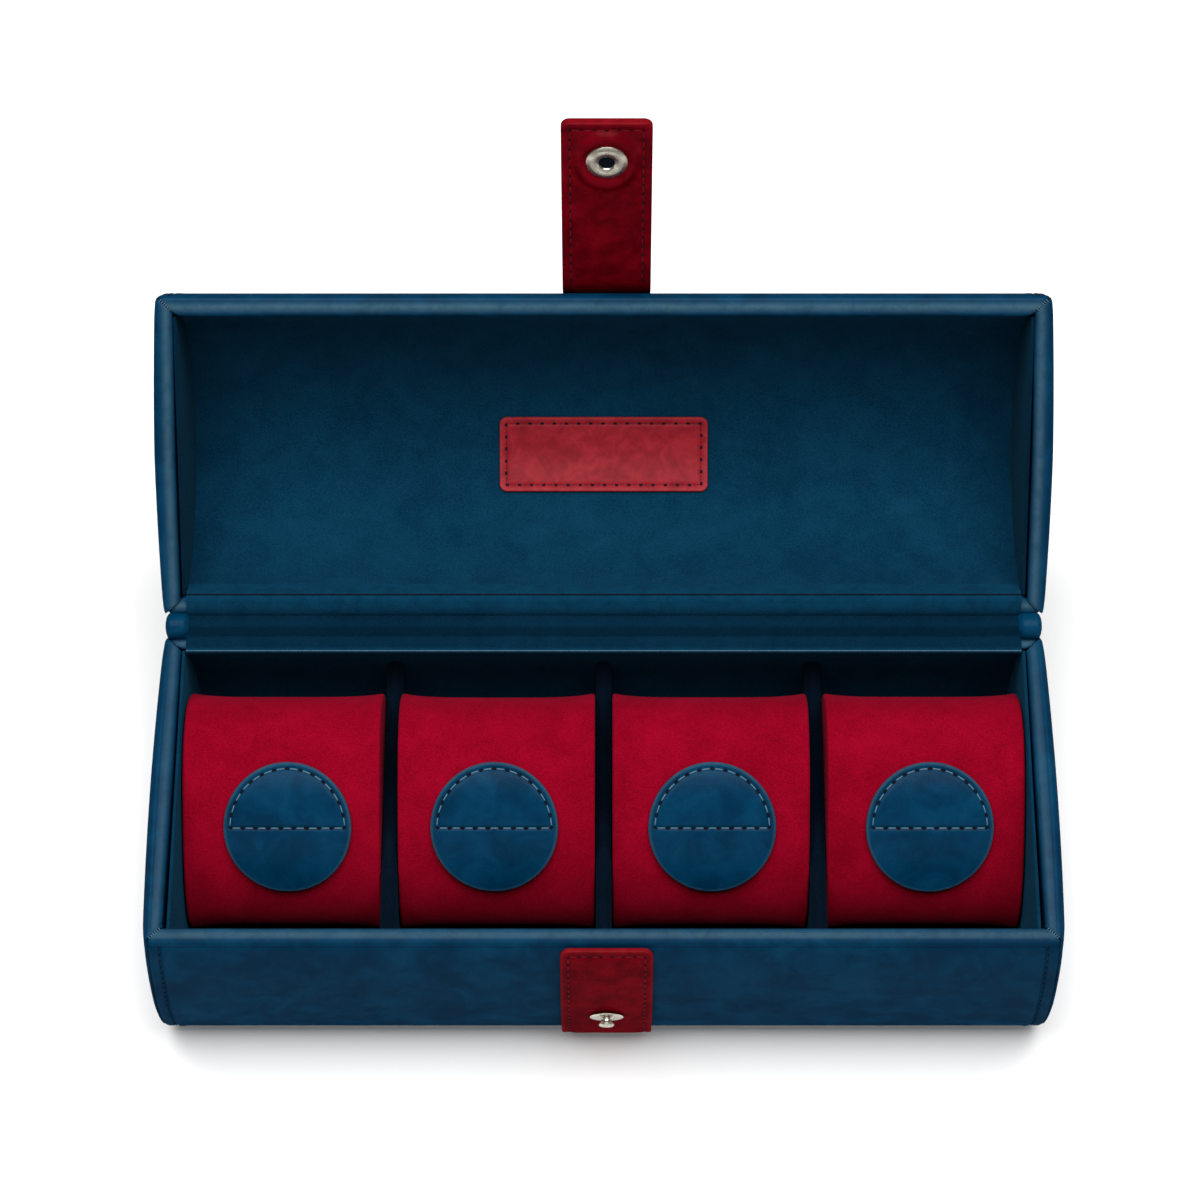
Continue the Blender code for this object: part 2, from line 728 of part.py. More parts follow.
stud_line = cut_start(base_line, base_height - stud_drop)
stud_out = -turned_left((stud_line[1] - stud_line[0]).normalized())
stud_seat = stud_line[0] + stud_out * (seat_gap + tab_thickness)
stud_at = (snap_line_x, stud_seat.x, stud_seat.y)
stud_turn = (atan2(-stud_out.x, stud_out.y), 0.0, 0.0)
profile = [(stud_knob_radius * r, stud_height * h) for r, h in stud_knob_shares]
profile.append((stud_neck_radius, stud_height * stud_neck_share))
profile.append((stud_neck_radius, seat_gap + stud_flange_height))
profile += [(stud_flange_radius * r, seat_gap + stud_flange_height * h)
            for r, h in stud_flange_shares]
profile.append((stud_neck_radius, seat_gap))
profile.append((stud_neck_radius, -tab_thickness))
profile.append((0.0, -tab_thickness))
turned_piece("snap_stud", profile, False, None, stud_at, stud_turn)

cutter_mesh = bpy.data.meshes.new("tab_hole")
shape = bmesh.new()
bmesh.ops.create_cone(
    shape, cap_ends=True, segments=round_sides, radius1=stud_neck_radius + seat_gap,
    radius2=stud_neck_radius + seat_gap, depth=2 * (tab_thickness + overrun))
shape.to_mesh(cutter_mesh)
shape.free()
cutter = bpy.data.objects.new("tab_hole", cutter_mesh)
cutters.objects.link(cutter)
cutter.location = stud_at
cutter.rotation_euler = stud_turn
cutter.hide_render = True
cutter.display_type = "WIRE"
hole = front_tab.modifiers.new("Hole for the stud", "BOOLEAN")
hole.operation = "DIFFERENCE"
hole.solver = "EXACT"
hole.object = cutter

# Label patch, sewn to the lid's lining
label_line = layer_line(lid_line, lid_depths["lining"][1], 0.0, 0.0)
across = [Vector((p.y, p.x)) for p in label_line]
label_middle = (lengths_along(label_line)[-1]
                - lengths_along(cut_start(across, label_from_front - rim_half_depth))[-1])
stations = corner_stations(label_length, label_half_width, label_corner, label_steps, True, True)
label = sheet_along("label_patch", label_line, label_middle - label_length * 0.5, stations,
                    seat_gap, label_thickness, 1)
add_piece("label_patch", lid_up(label), red_leather, lid_joint)
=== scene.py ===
import bmesh
import bpy
import numpy as np
from math import cos, pi, radians, sin
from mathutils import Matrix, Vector
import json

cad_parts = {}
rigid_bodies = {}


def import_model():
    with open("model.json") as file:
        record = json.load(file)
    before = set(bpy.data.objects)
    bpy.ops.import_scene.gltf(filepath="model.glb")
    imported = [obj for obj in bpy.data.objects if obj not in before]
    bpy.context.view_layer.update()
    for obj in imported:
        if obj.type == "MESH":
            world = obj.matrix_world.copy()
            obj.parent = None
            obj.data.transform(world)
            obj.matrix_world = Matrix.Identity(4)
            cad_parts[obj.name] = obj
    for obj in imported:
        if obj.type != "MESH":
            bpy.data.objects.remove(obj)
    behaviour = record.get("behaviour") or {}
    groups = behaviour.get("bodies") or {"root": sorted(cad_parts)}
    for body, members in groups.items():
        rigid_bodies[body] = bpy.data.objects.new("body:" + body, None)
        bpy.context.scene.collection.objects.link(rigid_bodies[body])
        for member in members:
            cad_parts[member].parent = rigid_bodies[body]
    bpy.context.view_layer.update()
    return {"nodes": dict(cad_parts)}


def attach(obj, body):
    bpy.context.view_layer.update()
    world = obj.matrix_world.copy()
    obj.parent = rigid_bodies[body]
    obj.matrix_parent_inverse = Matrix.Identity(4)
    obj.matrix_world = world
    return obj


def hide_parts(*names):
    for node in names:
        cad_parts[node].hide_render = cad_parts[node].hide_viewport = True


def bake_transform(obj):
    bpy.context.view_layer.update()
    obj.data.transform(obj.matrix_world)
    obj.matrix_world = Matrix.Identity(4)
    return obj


for item in list(bpy.data.objects):
    bpy.data.objects.remove(item, do_unlink=True)
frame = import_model()
print("frame loaded,", len(frame["nodes"]), "nodes")

case = {
    "halfLength": 0.139, "rimHalfDepth": 0.0517, "baseHeight": 0.076, "lidHeight": 0.0525,
    "lidPower": 1.95, "rimGap": 0.0003, "seat": 0.0003, "hingeBack": 0.0031,
    "openDegrees": 136.5, "skin": 0.0012, "rebate": 0.0014, "endThick": 0.0052,
    "endBow": 0.0013, "cornerRound": 0.0021, "liningHalf": 0.1335, "liningThick": 0.001,
}
halfLength = case["halfLength"]
rimDepth = case["rimHalfDepth"]
seat = case["seat"]
hingeAt = np.array((0.0, rimDepth + case["hingeBack"], case["baseHeight"] + case["rimGap"] / 2))
baseShares = ((1.0, 1.0), (1.036, 0.946), (1.07, 0.88), (1.097, 0.8), (1.118, 0.7),
              (1.134, 0.58), (1.14, 0.46), (1.132, 0.34), (1.102, 0.205), (1.026, 0.092),
              (0.896, 0.022), (0.755, 0.0))


# Small sums that many pieces use


def unit(v):
    # each row divided by its own length
    return v / np.linalg.norm(v, axis=1)[:, None]


def bell(distance, wide):
    # exp(-(distance / wide)^2): one in the middle, next to nothing past twice the width
    return np.exp(-(distance / wide) ** 2)


def limited(v):
    # kept between nothing and one
    return np.clip(v, 0, 1)


def fullTurn(count):
    # so many angles of one turn, evenly apart
    return np.linspace(0, 2 * pi, count + 1)[:-1]


def signedPower(v, power):
    # sign(v) * |v|^power
    return np.sign(v) * np.abs(v) ** power


def roundDrop(gap, r):
    # how far a rounded edge drops at a gap in from it: r - sqrt(r^2 - (r - gap)^2)
    return r - np.sqrt(np.clip(r ** 2 - np.clip(r - gap, 0, r) ** 2, 0, None))


# Lines of (y, z) in the case's cross-section


def smoothLine(points, steps):
    # cubic through the points, its slope at each being half the step between its neighbours
    p = np.asarray(points, float)
    i = np.arange(len(p) - 1)
    start, end = p[i][:, None], p[i + 1][:, None]
    out = (p[i + 1] - p[np.maximum(i - 1, 0)])[:, None] / 2
    into = (p[np.minimum(i + 2, len(p) - 1)] - p[i])[:, None] / 2
    t = (np.arange(steps) / steps)[None, :, None]
    line = (start * (2 * t ** 3 - 3 * t ** 2 + 1) + out * (t ** 3 - 2 * t ** 2 + t)
            + end * (3 * t ** 2 - 2 * t ** 3) + into * (t ** 3 - t ** 2))
    return np.vstack([line.reshape(-1, p.shape[1]), p[-1:]])


def lengthsAlong(line):
    # the way along the line from its start to each point
    return np.concatenate([[0.0], np.cumsum(np.linalg.norm(np.diff(line, axis=0), axis=1))])


def evenly(line, count):
    # the line again, at so many points an equal way apart
    total = lengthsAlong(line)
    at = np.linspace(0, total[-1], count)
    return np.column_stack([np.interp(at, total, line[:, k]) for k in range(line.shape[1])])


def leftNormals(line):
    # the line's direction at each point, turned a quarter to the left
    way = unit(np.gradient(line, axis=0))
    return np.column_stack([-way[:, 1], way[:, 0]])


def grown(line, more=0.02):
    # the line carried on straight past both its ends
    first, last = line[0] - line[1], line[-1] - line[-2]
    return np.vstack([line[0] + first / np.linalg.norm(first) * more, line,
                      line[-1] + last / np.linalg.norm(last) * more])


def shifted(line, distance):
    # every point moved to the left of the line
    return line + leftNormals(line) * distance


def onWall(line, heights, back=False):
    # points of the front or back wall at these heights
    side = grown(line)[::-1] if back else grown(line)
    side = side[:len(side) // 2][::-1]
    heights = np.asarray(heights, float)
    return np.column_stack([np.interp(heights, side[:, 1], side[:, 0]), heights])


def under(line, frontTop, backTop, count):
    # the line from one height on the front wall, under the case, to a height on the back
    long = grown(line)
    half = len(long) // 2
    keep = np.ones(len(long), bool)
    keep[:half] = long[:half, 1] < frontTop
    keep[half:] = long[half:, 1] < backTop
    return evenly(np.vstack([onWall(line, [frontTop]), long[keep],
                             onWall(line, [backTop], True)]), count)


def eased(a, corner, b, count=9):
    # a rounded corner: (1-t)^2 a + 2t(1-t) corner + t^2 b, without its two ends
    t = np.linspace(0, 1, count + 2)[1:-1, None]
    return (1 - t) ** 2 * a + 2 * t * (1 - t) * corner + t ** 2 * b


def depthUnder(points, line):
    # how deep the points lie under the outside line, and the way into the case there
    line = evenly(grown(line), 2400)
    near = np.concatenate([((part[:, None] - line[None]) ** 2).sum(2).argmin(1)
                           for part in np.array_split(points, max(len(points) // 400, 1))])
    into = leftNormals(line)[near]
    return ((points - line[near]) * into).sum(1), into


halfBase = [(-y * rimDepth, z * case["baseHeight"]) for y, z in baseShares]
frontSide = smoothLine(halfBase, 12)
baseLine = evenly(np.vstack([frontSide, (frontSide * (-1, 1))[::-1]]), 900)
turn = np.linspace(0, pi, 2001)
archShare = 2 / case["lidPower"]
lidLine = evenly(np.column_stack([
    -rimDepth * signedPower(np.cos(turn), archShare),
    -case["lidHeight"] * np.abs(np.sin(turn)) ** archShare]), 900)


def lidPlace(points):
    # from the lid's own frame, rim at height 0 and arch hanging, to where the open lid is
    p = np.array(points, float)
    p[:, 2] = -p[:, 2] + case["rimGap"] / 2
    p[:, 1] -= rimDepth + case["hingeBack"]
    a = -radians(case["openDegrees"])
    y, z = p[:, 1].copy(), p[:, 2].copy()
    p[:, 1], p[:, 2] = y * cos(a) - z * sin(a), y * sin(a) + z * cos(a)
    return p + hingeAt


def lidLinePlace(line):
    # the same for a line of (y, z)
    return lidPlace(np.column_stack([np.zeros(len(line)), line]))[:, 1:]


# Meshes


def gridFaces(rows, columns, aroundRows=False, aroundColumns=False, start=0):
    # the quads of a grid of rows x columns points, closed round where asked
    r = np.arange(rows if aroundRows else rows - 1)[:, None]
    c = np.arange(columns if aroundColumns else columns - 1)[None, :]
    r2, c2 = (r + 1) % rows, (c + 1) % columns
    quads = np.stack([r * columns + c, r * columns + c2, r2 * columns + c2, r2 * columns + c], 2)
    return (quads.reshape(-1, 4) + start).tolist()


def pairsRound(count):
    # the numbers of a closed ring, and for each the next one
    first = np.arange(count)
    return first, (first + 1) % count


def fan(first, second, pole):
    # triangles from the edges of a ring to one point
    return np.column_stack([first, second, np.full(len(first), pole)]).tolist()


def sheetEnds(n, columns):
    # the two ends of a swept sheet with n points a side: point a faces point 2n - 1 - a
    a = np.arange(n - 1)
    b = 2 * n - 1 - a
    faces = []
    for c in (0, columns - 1):
        faces += np.column_stack([a * columns + c, (a + 1) * columns + c,
                                  (b - 1) * columns + c, b * columns + c]).tolist()
    return faces


def addMesh(name, points, faces, material, sharp=35, attributes=None):
    # a mesh object at the origin, faces outwards and shaded smooth up to an angle
    mesh = bpy.data.meshes.new(name)
    mesh.from_pydata(np.asarray(points, float).tolist(), [], faces)
    for key, values in (attributes or {}).items():
        layer = mesh.attributes.new(key, "FLOAT", "POINT")
        layer.data.foreach_set("value", np.asarray(values, np.float32))
    shape = bmesh.new()
    shape.from_mesh(mesh)
    bmesh.ops.recalc_face_normals(shape, faces=shape.faces)
    shape.to_mesh(mesh)
    shape.free()
    mesh.shade_smooth()
    mesh.set_sharp_from_angle(angle=radians(sharp))
    mesh.materials.append(material)
    made = bpy.data.objects.new(name, mesh)
    bpy.context.scene.collection.objects.link(made)
    return made


def placedAs(word):
    # the lid's pieces are made hanging over, so their place turns them over
    return lidPlace if word == "lid" else (lambda points: np.asarray(points, float))


def dress(piece, body, slotName, *nodes):
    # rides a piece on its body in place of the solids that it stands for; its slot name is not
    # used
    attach(piece, body)
    if nodes:
        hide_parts(*nodes)
    return piece


# Shader groups


def addGroup(name, inputs, outputs):
    # an empty group with its sockets
    group = bpy.data.node_groups.new(name, "ShaderNodeTree")
    for label, kind, value in inputs:
        socket = group.interface.new_socket(label, in_out="INPUT", socket_type=kind)
        if value is not None:
            socket.default_value = value
    for label, kind in outputs:
        group.interface.new_socket(label, in_out="OUTPUT", socket_type=kind)
    return group, group.nodes.new("NodeGroupInput"), group.nodes.new("NodeGroupOutput")


def addNode(tree, kind, settings=None, values=None, links=None):
    # a node with its settings, its sockets' values and what is linked to them
    node = tree.nodes.new(kind)
    for key, value in (settings or {}).items():
        setattr(node, key, value)
    for key, value in (values or {}).items():
        node.inputs[key].default_value = value
    for key, source in (links or {}).items():
        tree.links.new(source, node.inputs[key])
    return node


def noise(tree, vector, scale, detail=4.0, roughness=0.55, distortion=0.0):
    # a noise texture's value at a place
    node = addNode(tree, "ShaderNodeTexNoise", None,
                   {"Scale": scale, "Detail": detail, "Roughness": roughness,
                    "Distortion": distortion}, {"Vector": vector})
    return node.outputs["Fac"]


def ranged(tree, value, low, high, toLow=0.0, toHigh=1.0):
    # a smooth step from one range to another
    node = addNode(tree, "ShaderNodeMapRange", {"interpolation_type": "SMOOTHSTEP"},
                   {"From Min": low, "From Max": high, "To Min": toLow, "To Max": toHigh},
                   {"Value": value})
    return node.outputs["Result"]


def sums(tree, operation, first, second):
    # one sum of two numbers or sockets
    node = tree.nodes.new("ShaderNodeMath")
    node.operation = operation
    for socket, value in zip(node.inputs, (first, second)):
        if isinstance(value, (int, float)):
            socket.default_value = value
        else:
            tree.links.new(value, socket)
    return node.outputs[0]


def mixed(tree, share, first, second):
    # two colours or colour sockets, mixed by a share
    node = tree.nodes.new("ShaderNodeMix")
    node.data_type = "RGBA"
    node.clamp_result = False
    for socket, value in ((node.inputs["Factor"], share), (node.inputs[6], first),
                          (node.inputs[7], second)):
        if isinstance(value, (int, float, tuple)):
            socket.default_value = value
        else:
            tree.links.new(value, socket)
    return node.outputs[2]


def burnishGroup():
    # cloudy hand-burnished leather: soft clouds, darker veins and small pale scuffs
    group, into, out = addGroup("burnish", [
        ("Vector", "NodeSocketVector", None), ("Deep", "NodeSocketColor", (0, 0, 0, 1)),
        ("Middle", "NodeSocketColor", (0, 0, 0, 1)), ("Pale", "NodeSocketColor", (1, 1, 1, 1)),
        ("Cloud size", "NodeSocketFloat", 60.0)],
        [("Colour", "NodeSocketColor"), ("Shade", "NodeSocketFloat"),
         ("Height", "NodeSocketFloat")])
    vector = into.outputs["Vector"]
    size = into.outputs["Cloud size"]
    cloud = addNode(group, "ShaderNodeTexNoise", None, {"Detail": 6.0, "Roughness": 0.62,
                    "Distortion": 0.7}, {"Vector": vector, "Scale": size}).outputs["Fac"]
    patch = addNode(group, "ShaderNodeTexNoise", None, {"Detail": 3.0, "Roughness": 0.5,
                    "Distortion": 1.2}, {"Vector": vector, "Scale": sums(
                        group, "MULTIPLY", size, 0.42)}).outputs["Fac"]
    scuff = noise(group, vector, 900.0, 5.0, 0.7, 0.3)
    shade = sums(group, "ADD", sums(group, "MULTIPLY", cloud, 0.6),
                 sums(group, "MULTIPLY", patch, 0.4))
    colour = mixed(group, ranged(group, shade, 0.38, 0.6), into.outputs["Deep"],
                   into.outputs["Middle"])
    pale = sums(group, "MULTIPLY", ranged(group, shade, 0.52, 0.72),
                ranged(group, scuff, 0.35, 0.7, 0.15, 1.0))
    colour = mixed(group, pale, colour, into.outputs["Pale"])
    cells = addNode(group, "ShaderNodeTexVoronoi", {"feature": "DISTANCE_TO_EDGE"},
                    {"Scale": 1500.0, "Randomness": 1.0}, {"Vector": vector})
    grain = ranged(group, cells.outputs["Distance"], 0.0, 0.25)
    height = sums(group, "ADD", sums(group, "MULTIPLY", grain, 0.35),
                  sums(group, "MULTIPLY", noise(group, vector, 2600.0, 3.0), 0.65))
    group.links.new(colour, out.inputs["Colour"])
    group.links.new(shade, out.inputs["Shade"])
    group.links.new(height, out.inputs["Height"])
    return group


def napGroup():
    # suede: fine fibres, and wide soft patches where the nap was brushed another way
    group, into, out = addGroup("nap", [
        ("Vector", "NodeSocketVector", None), ("Dark", "NodeSocketColor", (0, 0, 0, 1)),
        ("Light", "NodeSocketColor", (1, 1, 1, 1))],
        [("Colour", "NodeSocketColor"), ("Height", "NodeSocketFloat")])
    vector = into.outputs["Vector"]
    brushed = noise(group, vector, 95.0, 5.0, 0.6, 0.5)
    wide = noise(group, vector, 22.0, 3.0, 0.5, 0.4)
    fibre = noise(group, vector, 2100.0, 4.0, 0.75)
    share = sums(group, "ADD", sums(group, "MULTIPLY", brushed, 0.25),
                 sums(group, "MULTIPLY", fibre, 0.6))
    share = sums(group, "ADD", share, sums(group, "MULTIPLY", wide, 0.15))
    colour = mixed(group, ranged(group, share, 0.36, 0.64), into.outputs["Dark"],
                   into.outputs["Light"])
    height = sums(group, "ADD", sums(group, "MULTIPLY", fibre, 0.8),
                  sums(group, "MULTIPLY", brushed, 0.2))
    group.links.new(colour, out.inputs["Colour"])
    group.links.new(height, out.inputs["Height"])
    return group


burnish = burnishGroup()
nap = napGroup()


def newMaterial(name, values):
    # the shader's plain values are set on its own sockets
    made = bpy.data.materials.new(name)
    made.use_nodes = True
    tree = made.node_tree
    shader = tree.nodes["Principled BSDF"]
    for key, value in values.items():
        shader.inputs[key].default_value = value
    where = tree.nodes.new("ShaderNodeTexCoord").outputs["Object"]
    return made, tree, shader, where


def bumped(tree, shader, height, strength, distance):
    # fine relief from a height, into the shader's normal
    bump = addNode(tree, "ShaderNodeBump", None, {"Strength": strength, "Distance": distance},
                   {"Height": height})
    tree.links.new(bump.outputs["Normal"], shader.inputs["Normal"])


def wearAndPaintedLight(tree, where, colour, wearAndHighlight):
    # the paler colour, as far as the attribute edge says, in uneven streaks: wear near cut edges,
    # partly wear and partly a painted highlight along the case's rims, painted light and shade on
    # the hinge strip
    edge = addNode(tree, "ShaderNodeAttribute", {"attribute_name": "edge"}).outputs["Fac"]
    streaks = ranged(tree, noise(tree, where, 210.0, 5.0, 0.7, 0.6), 0.3, 0.65, 0.6, 1.0)
    return mixed(tree, sums(tree, "MULTIPLY", edge, streaks), colour, wearAndHighlight)


def leather(name, look):
    # burnished leather, paler where the attribute edge says: wear near a cut edge, and along the
    # crown of a rim partly wear and partly a painted highlight
    made, tree, shader, where = newMaterial(name, {
        "Specular IOR Level": 0.0, "Coat Weight": look["coat"], "Coat IOR": 2.2,
        "Coat Roughness": look["coatRough"]})
    group = addNode(tree, "ShaderNodeGroup", {"node_tree": burnish}, {
        "Deep": look["deep"], "Middle": look["middle"], "Pale": look["pale"],
        "Cloud size": look["cloud"]}, {"Vector": where})
    tree.links.new(wearAndPaintedLight(tree, where, group.outputs["Colour"], look["edge"]),
                   shader.inputs["Base Color"])
    tree.links.new(ranged(tree, group.outputs["Shade"], 0.35, 0.65, *look["rough"]),
                   shader.inputs["Roughness"])
    bumped(tree, shader, group.outputs["Height"], look["grain"], 0.0002)
    return made


def suede(name, look):
    # suede with a low sheen, paler where the attribute edge says, which on the hinge strip is
    # painted light
    made, tree, shader, where = newMaterial(name, {
        "Roughness": 0.95, "Specular IOR Level": 0.02, "Sheen Weight": look["sheen"],
        "Sheen Roughness": 0.45, "Sheen Tint": look["tint"]})
    group = addNode(tree, "ShaderNodeGroup", {"node_tree": nap}, {
        "Dark": look["dark"], "Light": look["light"]}, {"Vector": where})
    tree.links.new(wearAndPaintedLight(tree, where, group.outputs["Colour"], look["edge"]),
                   shader.inputs["Base Color"])
    bumped(tree, shader, group.outputs["Height"], 0.55, 0.0005)
    return made


# each leather's edge colour is its paler colour: wear near cut edges, and on the case's rims also
# a painted highlight
blueLeather = leather("blueLeather", {
    "deep": (0.0003, 0.018, 0.046, 1), "middle": (0.0006, 0.028, 0.067, 1),
    "pale": (0.0025, 0.038, 0.082, 1), "cloud": 95.0, "rough": (0.4, 0.55),
    "coat": 0.018, "coatRough": 0.28, "grain": 0.35, "edge": (0.034, 0.082, 0.118, 1)})
redLeather = leather("redLeather", {
    "deep": (0.075, 0.0003, 0.003, 1), "middle": (0.125, 0.0006, 0.0045, 1),
    "pale": (0.18, 0.003, 0.008, 1), "cloud": 150.0, "rough": (0.4, 0.55),
    "coat": 0.014, "coatRough": 0.3, "grain": 0.35, "edge": (0.19, 0.009, 0.011, 1)})
patchLeather = leather("patchLeather", {
    "deep": (0.17, 0.0065, 0.012, 1), "middle": (0.24, 0.011, 0.018, 1),
    "pale": (0.3, 0.022, 0.03, 1), "cloud": 210.0, "rough": (0.45, 0.6),
    "coat": 0.03, "coatRough": 0.4, "grain": 0.3, "edge": (0.3, 0.03, 0.035, 1)})
blueSuede = suede("blueSuede", {"dark": (0.0006, 0.015, 0.034, 1),
                                "light": (0.0025, 0.032, 0.066, 1), "sheen": 0.08,
                                "tint": (0.08, 0.4, 0.7, 1), "edge": (0.02, 0.1, 0.15, 1)})
# a darker copy of the blue suede, painted shade, for the hinge strip and the lid's end linings;
# its edge colour is the strip's painted light
paintedShadeSuede = suede("paintedShadeSuede", {"dark": (0.0003, 0.0065, 0.016, 1),
                                  "light": (0.0012, 0.0145, 0.032, 1), "sheen": 0.06,
                                  "tint": (0.08, 0.4, 0.7, 1), "edge": (0.0022, 0.038, 0.08, 1)})
# a much darker copy of the blue suede for the dividers: painted shade
dividerSuede = suede("dividerSuede", {"dark": (0.0006, 0.0025, 0.0065, 1),
                                      "light": (0.002, 0.006, 0.0135, 1), "sheen": 0.04,
                                      "tint": (0.08, 0.4, 0.7, 1), "edge": (0.002, 0.03, 0.06, 1)})
redSuede = suede("redSuede", {"dark": (0.132, 0.0002, 0.0058, 1),
                              "light": (0.245, 0.0011, 0.0135, 1), "sheen": 0.06,
                              "tint": (1.0, 0.1, 0.22, 1), "edge": (0.3, 0.004, 0.02, 1)})


def plainWorn(name, first, second, rough=(0.7, 0.9), metallic=0.0, scale=3000.0, relief=0.2):
    # thread, board or metal: two tones of one colour, mixed by a small noise
    made, tree, shader, where = newMaterial(name, {
        "Metallic": metallic, "Specular IOR Level": 0.5 * metallic + 0.03})
    share = noise(tree, where, scale, 4.0, 0.6)
    tree.links.new(mixed(tree, ranged(tree, share, 0.35, 0.65), first, second),
                   shader.inputs["Base Color"])
    tree.links.new(ranged(tree, share, 0.3, 0.7, *rough), shader.inputs["Roughness"])
    bumped(tree, shader, share, relief, 0.0001)
    return made


snapMetal = plainWorn("snapMetal", (0.5, 0.47, 0.4, 1), (0.39, 0.36, 0.3, 1), (0.24, 0.34),
                      1.0, 420.0, 0.04)
paleThread = plainWorn("paleThread", (0.06, 0.125, 0.165, 1), (0.115, 0.175, 0.21, 1))
redThread = plainWorn("redThread", (0.1, 0.004, 0.007, 1), (0.16, 0.015, 0.018, 1))
blueThread = plainWorn("blueThread", (0.001, 0.012, 0.03, 1), (0.003, 0.03, 0.06, 1))
# near black: painted shade inside stitch holes, in the snap socket's hollow and in the gap at the
# hinge
holeShade = plainWorn("holeShade", (0.002, 0.003, 0.006, 1), (0.006, 0.008, 0.012, 1),
                     (0.8, 1.0), 0.0, 2000.0)
boardDark = plainWorn("boardDark", (0.004, 0.01, 0.02, 1), (0.008, 0.016, 0.028, 1),
                      (0.8, 0.95), 0.0, 400.0)
print("materials made")


# Walls: a leather cover folded over both rims, with rounded mitred ends

# each wall's last two numbers say how much paler the crown of its long rims and of its end rims
# is, partly wear and partly a painted highlight
walls = {
    "base": {"line": baseLine, "rim": case["baseHeight"], "far": 0.0046, "clear": 0.0049,
             "foldFront": 0.006, "foldBack": 0.006, "liningNear": 0.0036, "swell": 0.0018,
             "seamDeep": 1.0, "wearAndHighlight": 0.65, "endWearAndHighlight": 0.4},
    "lid": {"line": lidLine, "rim": 0.0, "far": 0.0065, "clear": 0.0068,
            "foldFront": 0.008, "foldBack": 0.006, "liningNear": 0.0055, "swell": 0.0012,
            "seamDeep": 0.3, "wearAndHighlight": 0.95, "endWearAndHighlight": 0.75},
}
# its last three numbers place the paler crown of a rim, partly wear and partly a painted
# highlight: where it starts below the top, how fast it rises, how wide it is
rimShape = {"outEase": 0.0019, "inEase": 0.0022, "crown": 0.00015, "wallCount": 190,
            "creaseZone": 0.004, "crease": 0.00035, "creaseAt": 0.0006, "creaseWide": 0.0004,
            "lip": 0.00015, "arc": 9, "creaseCount": 21,
            "outsideFrom": 0.0015, "wearAndHighlightFrom": 0.0022, "wearAndHighlightRise": 0.0012, "wearAndHighlightWide": 0.0014}
seamShape = {"from": 0.0036, "deep": 0.0007, "wide": 0.0007, "ridge": 0.0003,
             "ridgeFrom": 0.0017, "ridgeWide": 0.0011, "pinch": 0.0003, "pinchWide": 0.0006,
             "floorFade": 0.028, "floorLeft": 0.25}
flare = {"base": {"low": 0.0055, "front": 0.0035, "back": -0.0035},
         "lid": {"low": 0.0, "front": -0.0065, "back": 0.0},
         "lowBy": 0.04, "from": 0.1, "fade": 0.03}
coverRuns = {"middle": 26, "corner": 44, "cornerLength": 0.011, "spread": 0.8}
hands = {-1: "Left", 1: "Right"}


def seamFade(heights):
    # the seams get shallower towards the bottom
    share = limited((heights - heights.min()) / seamShape["floorFade"])
    return seamShape["floorLeft"] + (1 - seamShape["floorLeft"]) * share


def fromCorner(zone, count):
    # ways in from a corner, a little closer together near it: zone * (1 - t^spread)
    return zone * (1 - np.linspace(0, 1, count) ** coverRuns["spread"])[None]


def crowned(level, t):
    # the flat of a rim rises in its middle by crown * (1 - (2t - 1)^2)
    level[:, 1] += rimShape["crown"] * (1 - (2 * t[:, 0] - 1) ** 2)
    return level


def overRim(wall, top, fold, back):
    # up the inside of one wall, over its rim on two rounded corners, and down to the outside
    line, inner = wall["line"], shifted(wall["line"], wall["far"])
    side = 1.0 if back else -1.0
    lip, edge = onWall(inner, [top], back)[0], onWall(line, [top], back)[0]
    low = onWall(inner, np.linspace(top - fold, top - rimShape["inEase"], rimShape["arc"]), back)
    flatIn = lip + (side * rimShape["inEase"], 0.0)
    flatOut = edge - (side * rimShape["outEase"], 0.0)
    t = np.linspace(0, 1, rimShape["arc"])[:, None]
    level = crowned(flatIn + (flatOut - flatIn) * t, t)
    down = onWall(line, [top - rimShape["outEase"]], back)
    return np.vstack([low, eased(low[-1], lip, level[0]), level,
                      eased(level[-1], edge, down[0])])


def belowRim(wall, top, back):
    # a small ridge and a crease where the wall starts: each is a bell over the way down
    deep = np.linspace(0, rimShape["creaseZone"], rimShape["creaseCount"])[1:-1]
    flat = onWall(wall["line"], top - rimShape["outEase"] - deep, back)
    dip = (rimShape["crease"] * bell(deep - rimShape["creaseAt"], rimShape["creaseWide"])
           - rimShape["lip"] * bell(deep, rimShape["creaseWide"]))
    flat[:, 0] += dip * (-1.0 if back else 1.0)
    return flat


def coverPath(wall):
    # the outside of the leather: up the inside of the front wall, over its rim, down, under,
    # up the back, over and down inside. Also says how far each point is outside below the
    # rims, and the same times the depth of the seams there.
    line, rim, e = wall["line"], wall["rim"], rimShape["outEase"]
    backTop = rim - case["rebate"]
    drop = e + rimShape["creaseZone"]
    front = np.vstack([overRim(wall, rim, wall["foldFront"], False), belowRim(wall, rim, False)])
    back = np.vstack([overRim(wall, backTop, wall["foldBack"], True),
                      belowRim(wall, backTop, True)])[::-1]
    girth = under(line, rim - drop, backTop - drop, rimShape["wallCount"])
    path = np.vstack([front, girth, back])
    tall = np.where(np.arange(len(path)) < len(path) / 2, rim, backTop)
    depth = depthUnder(path, line)[0]
    outside = (limited((tall - path[:, 1] - e) / rimShape["outsideFrom"])
               * (depth < case["skin"]))
    return path, outside, outside * seamFade(path[:, 1]) * wall["seamDeep"]


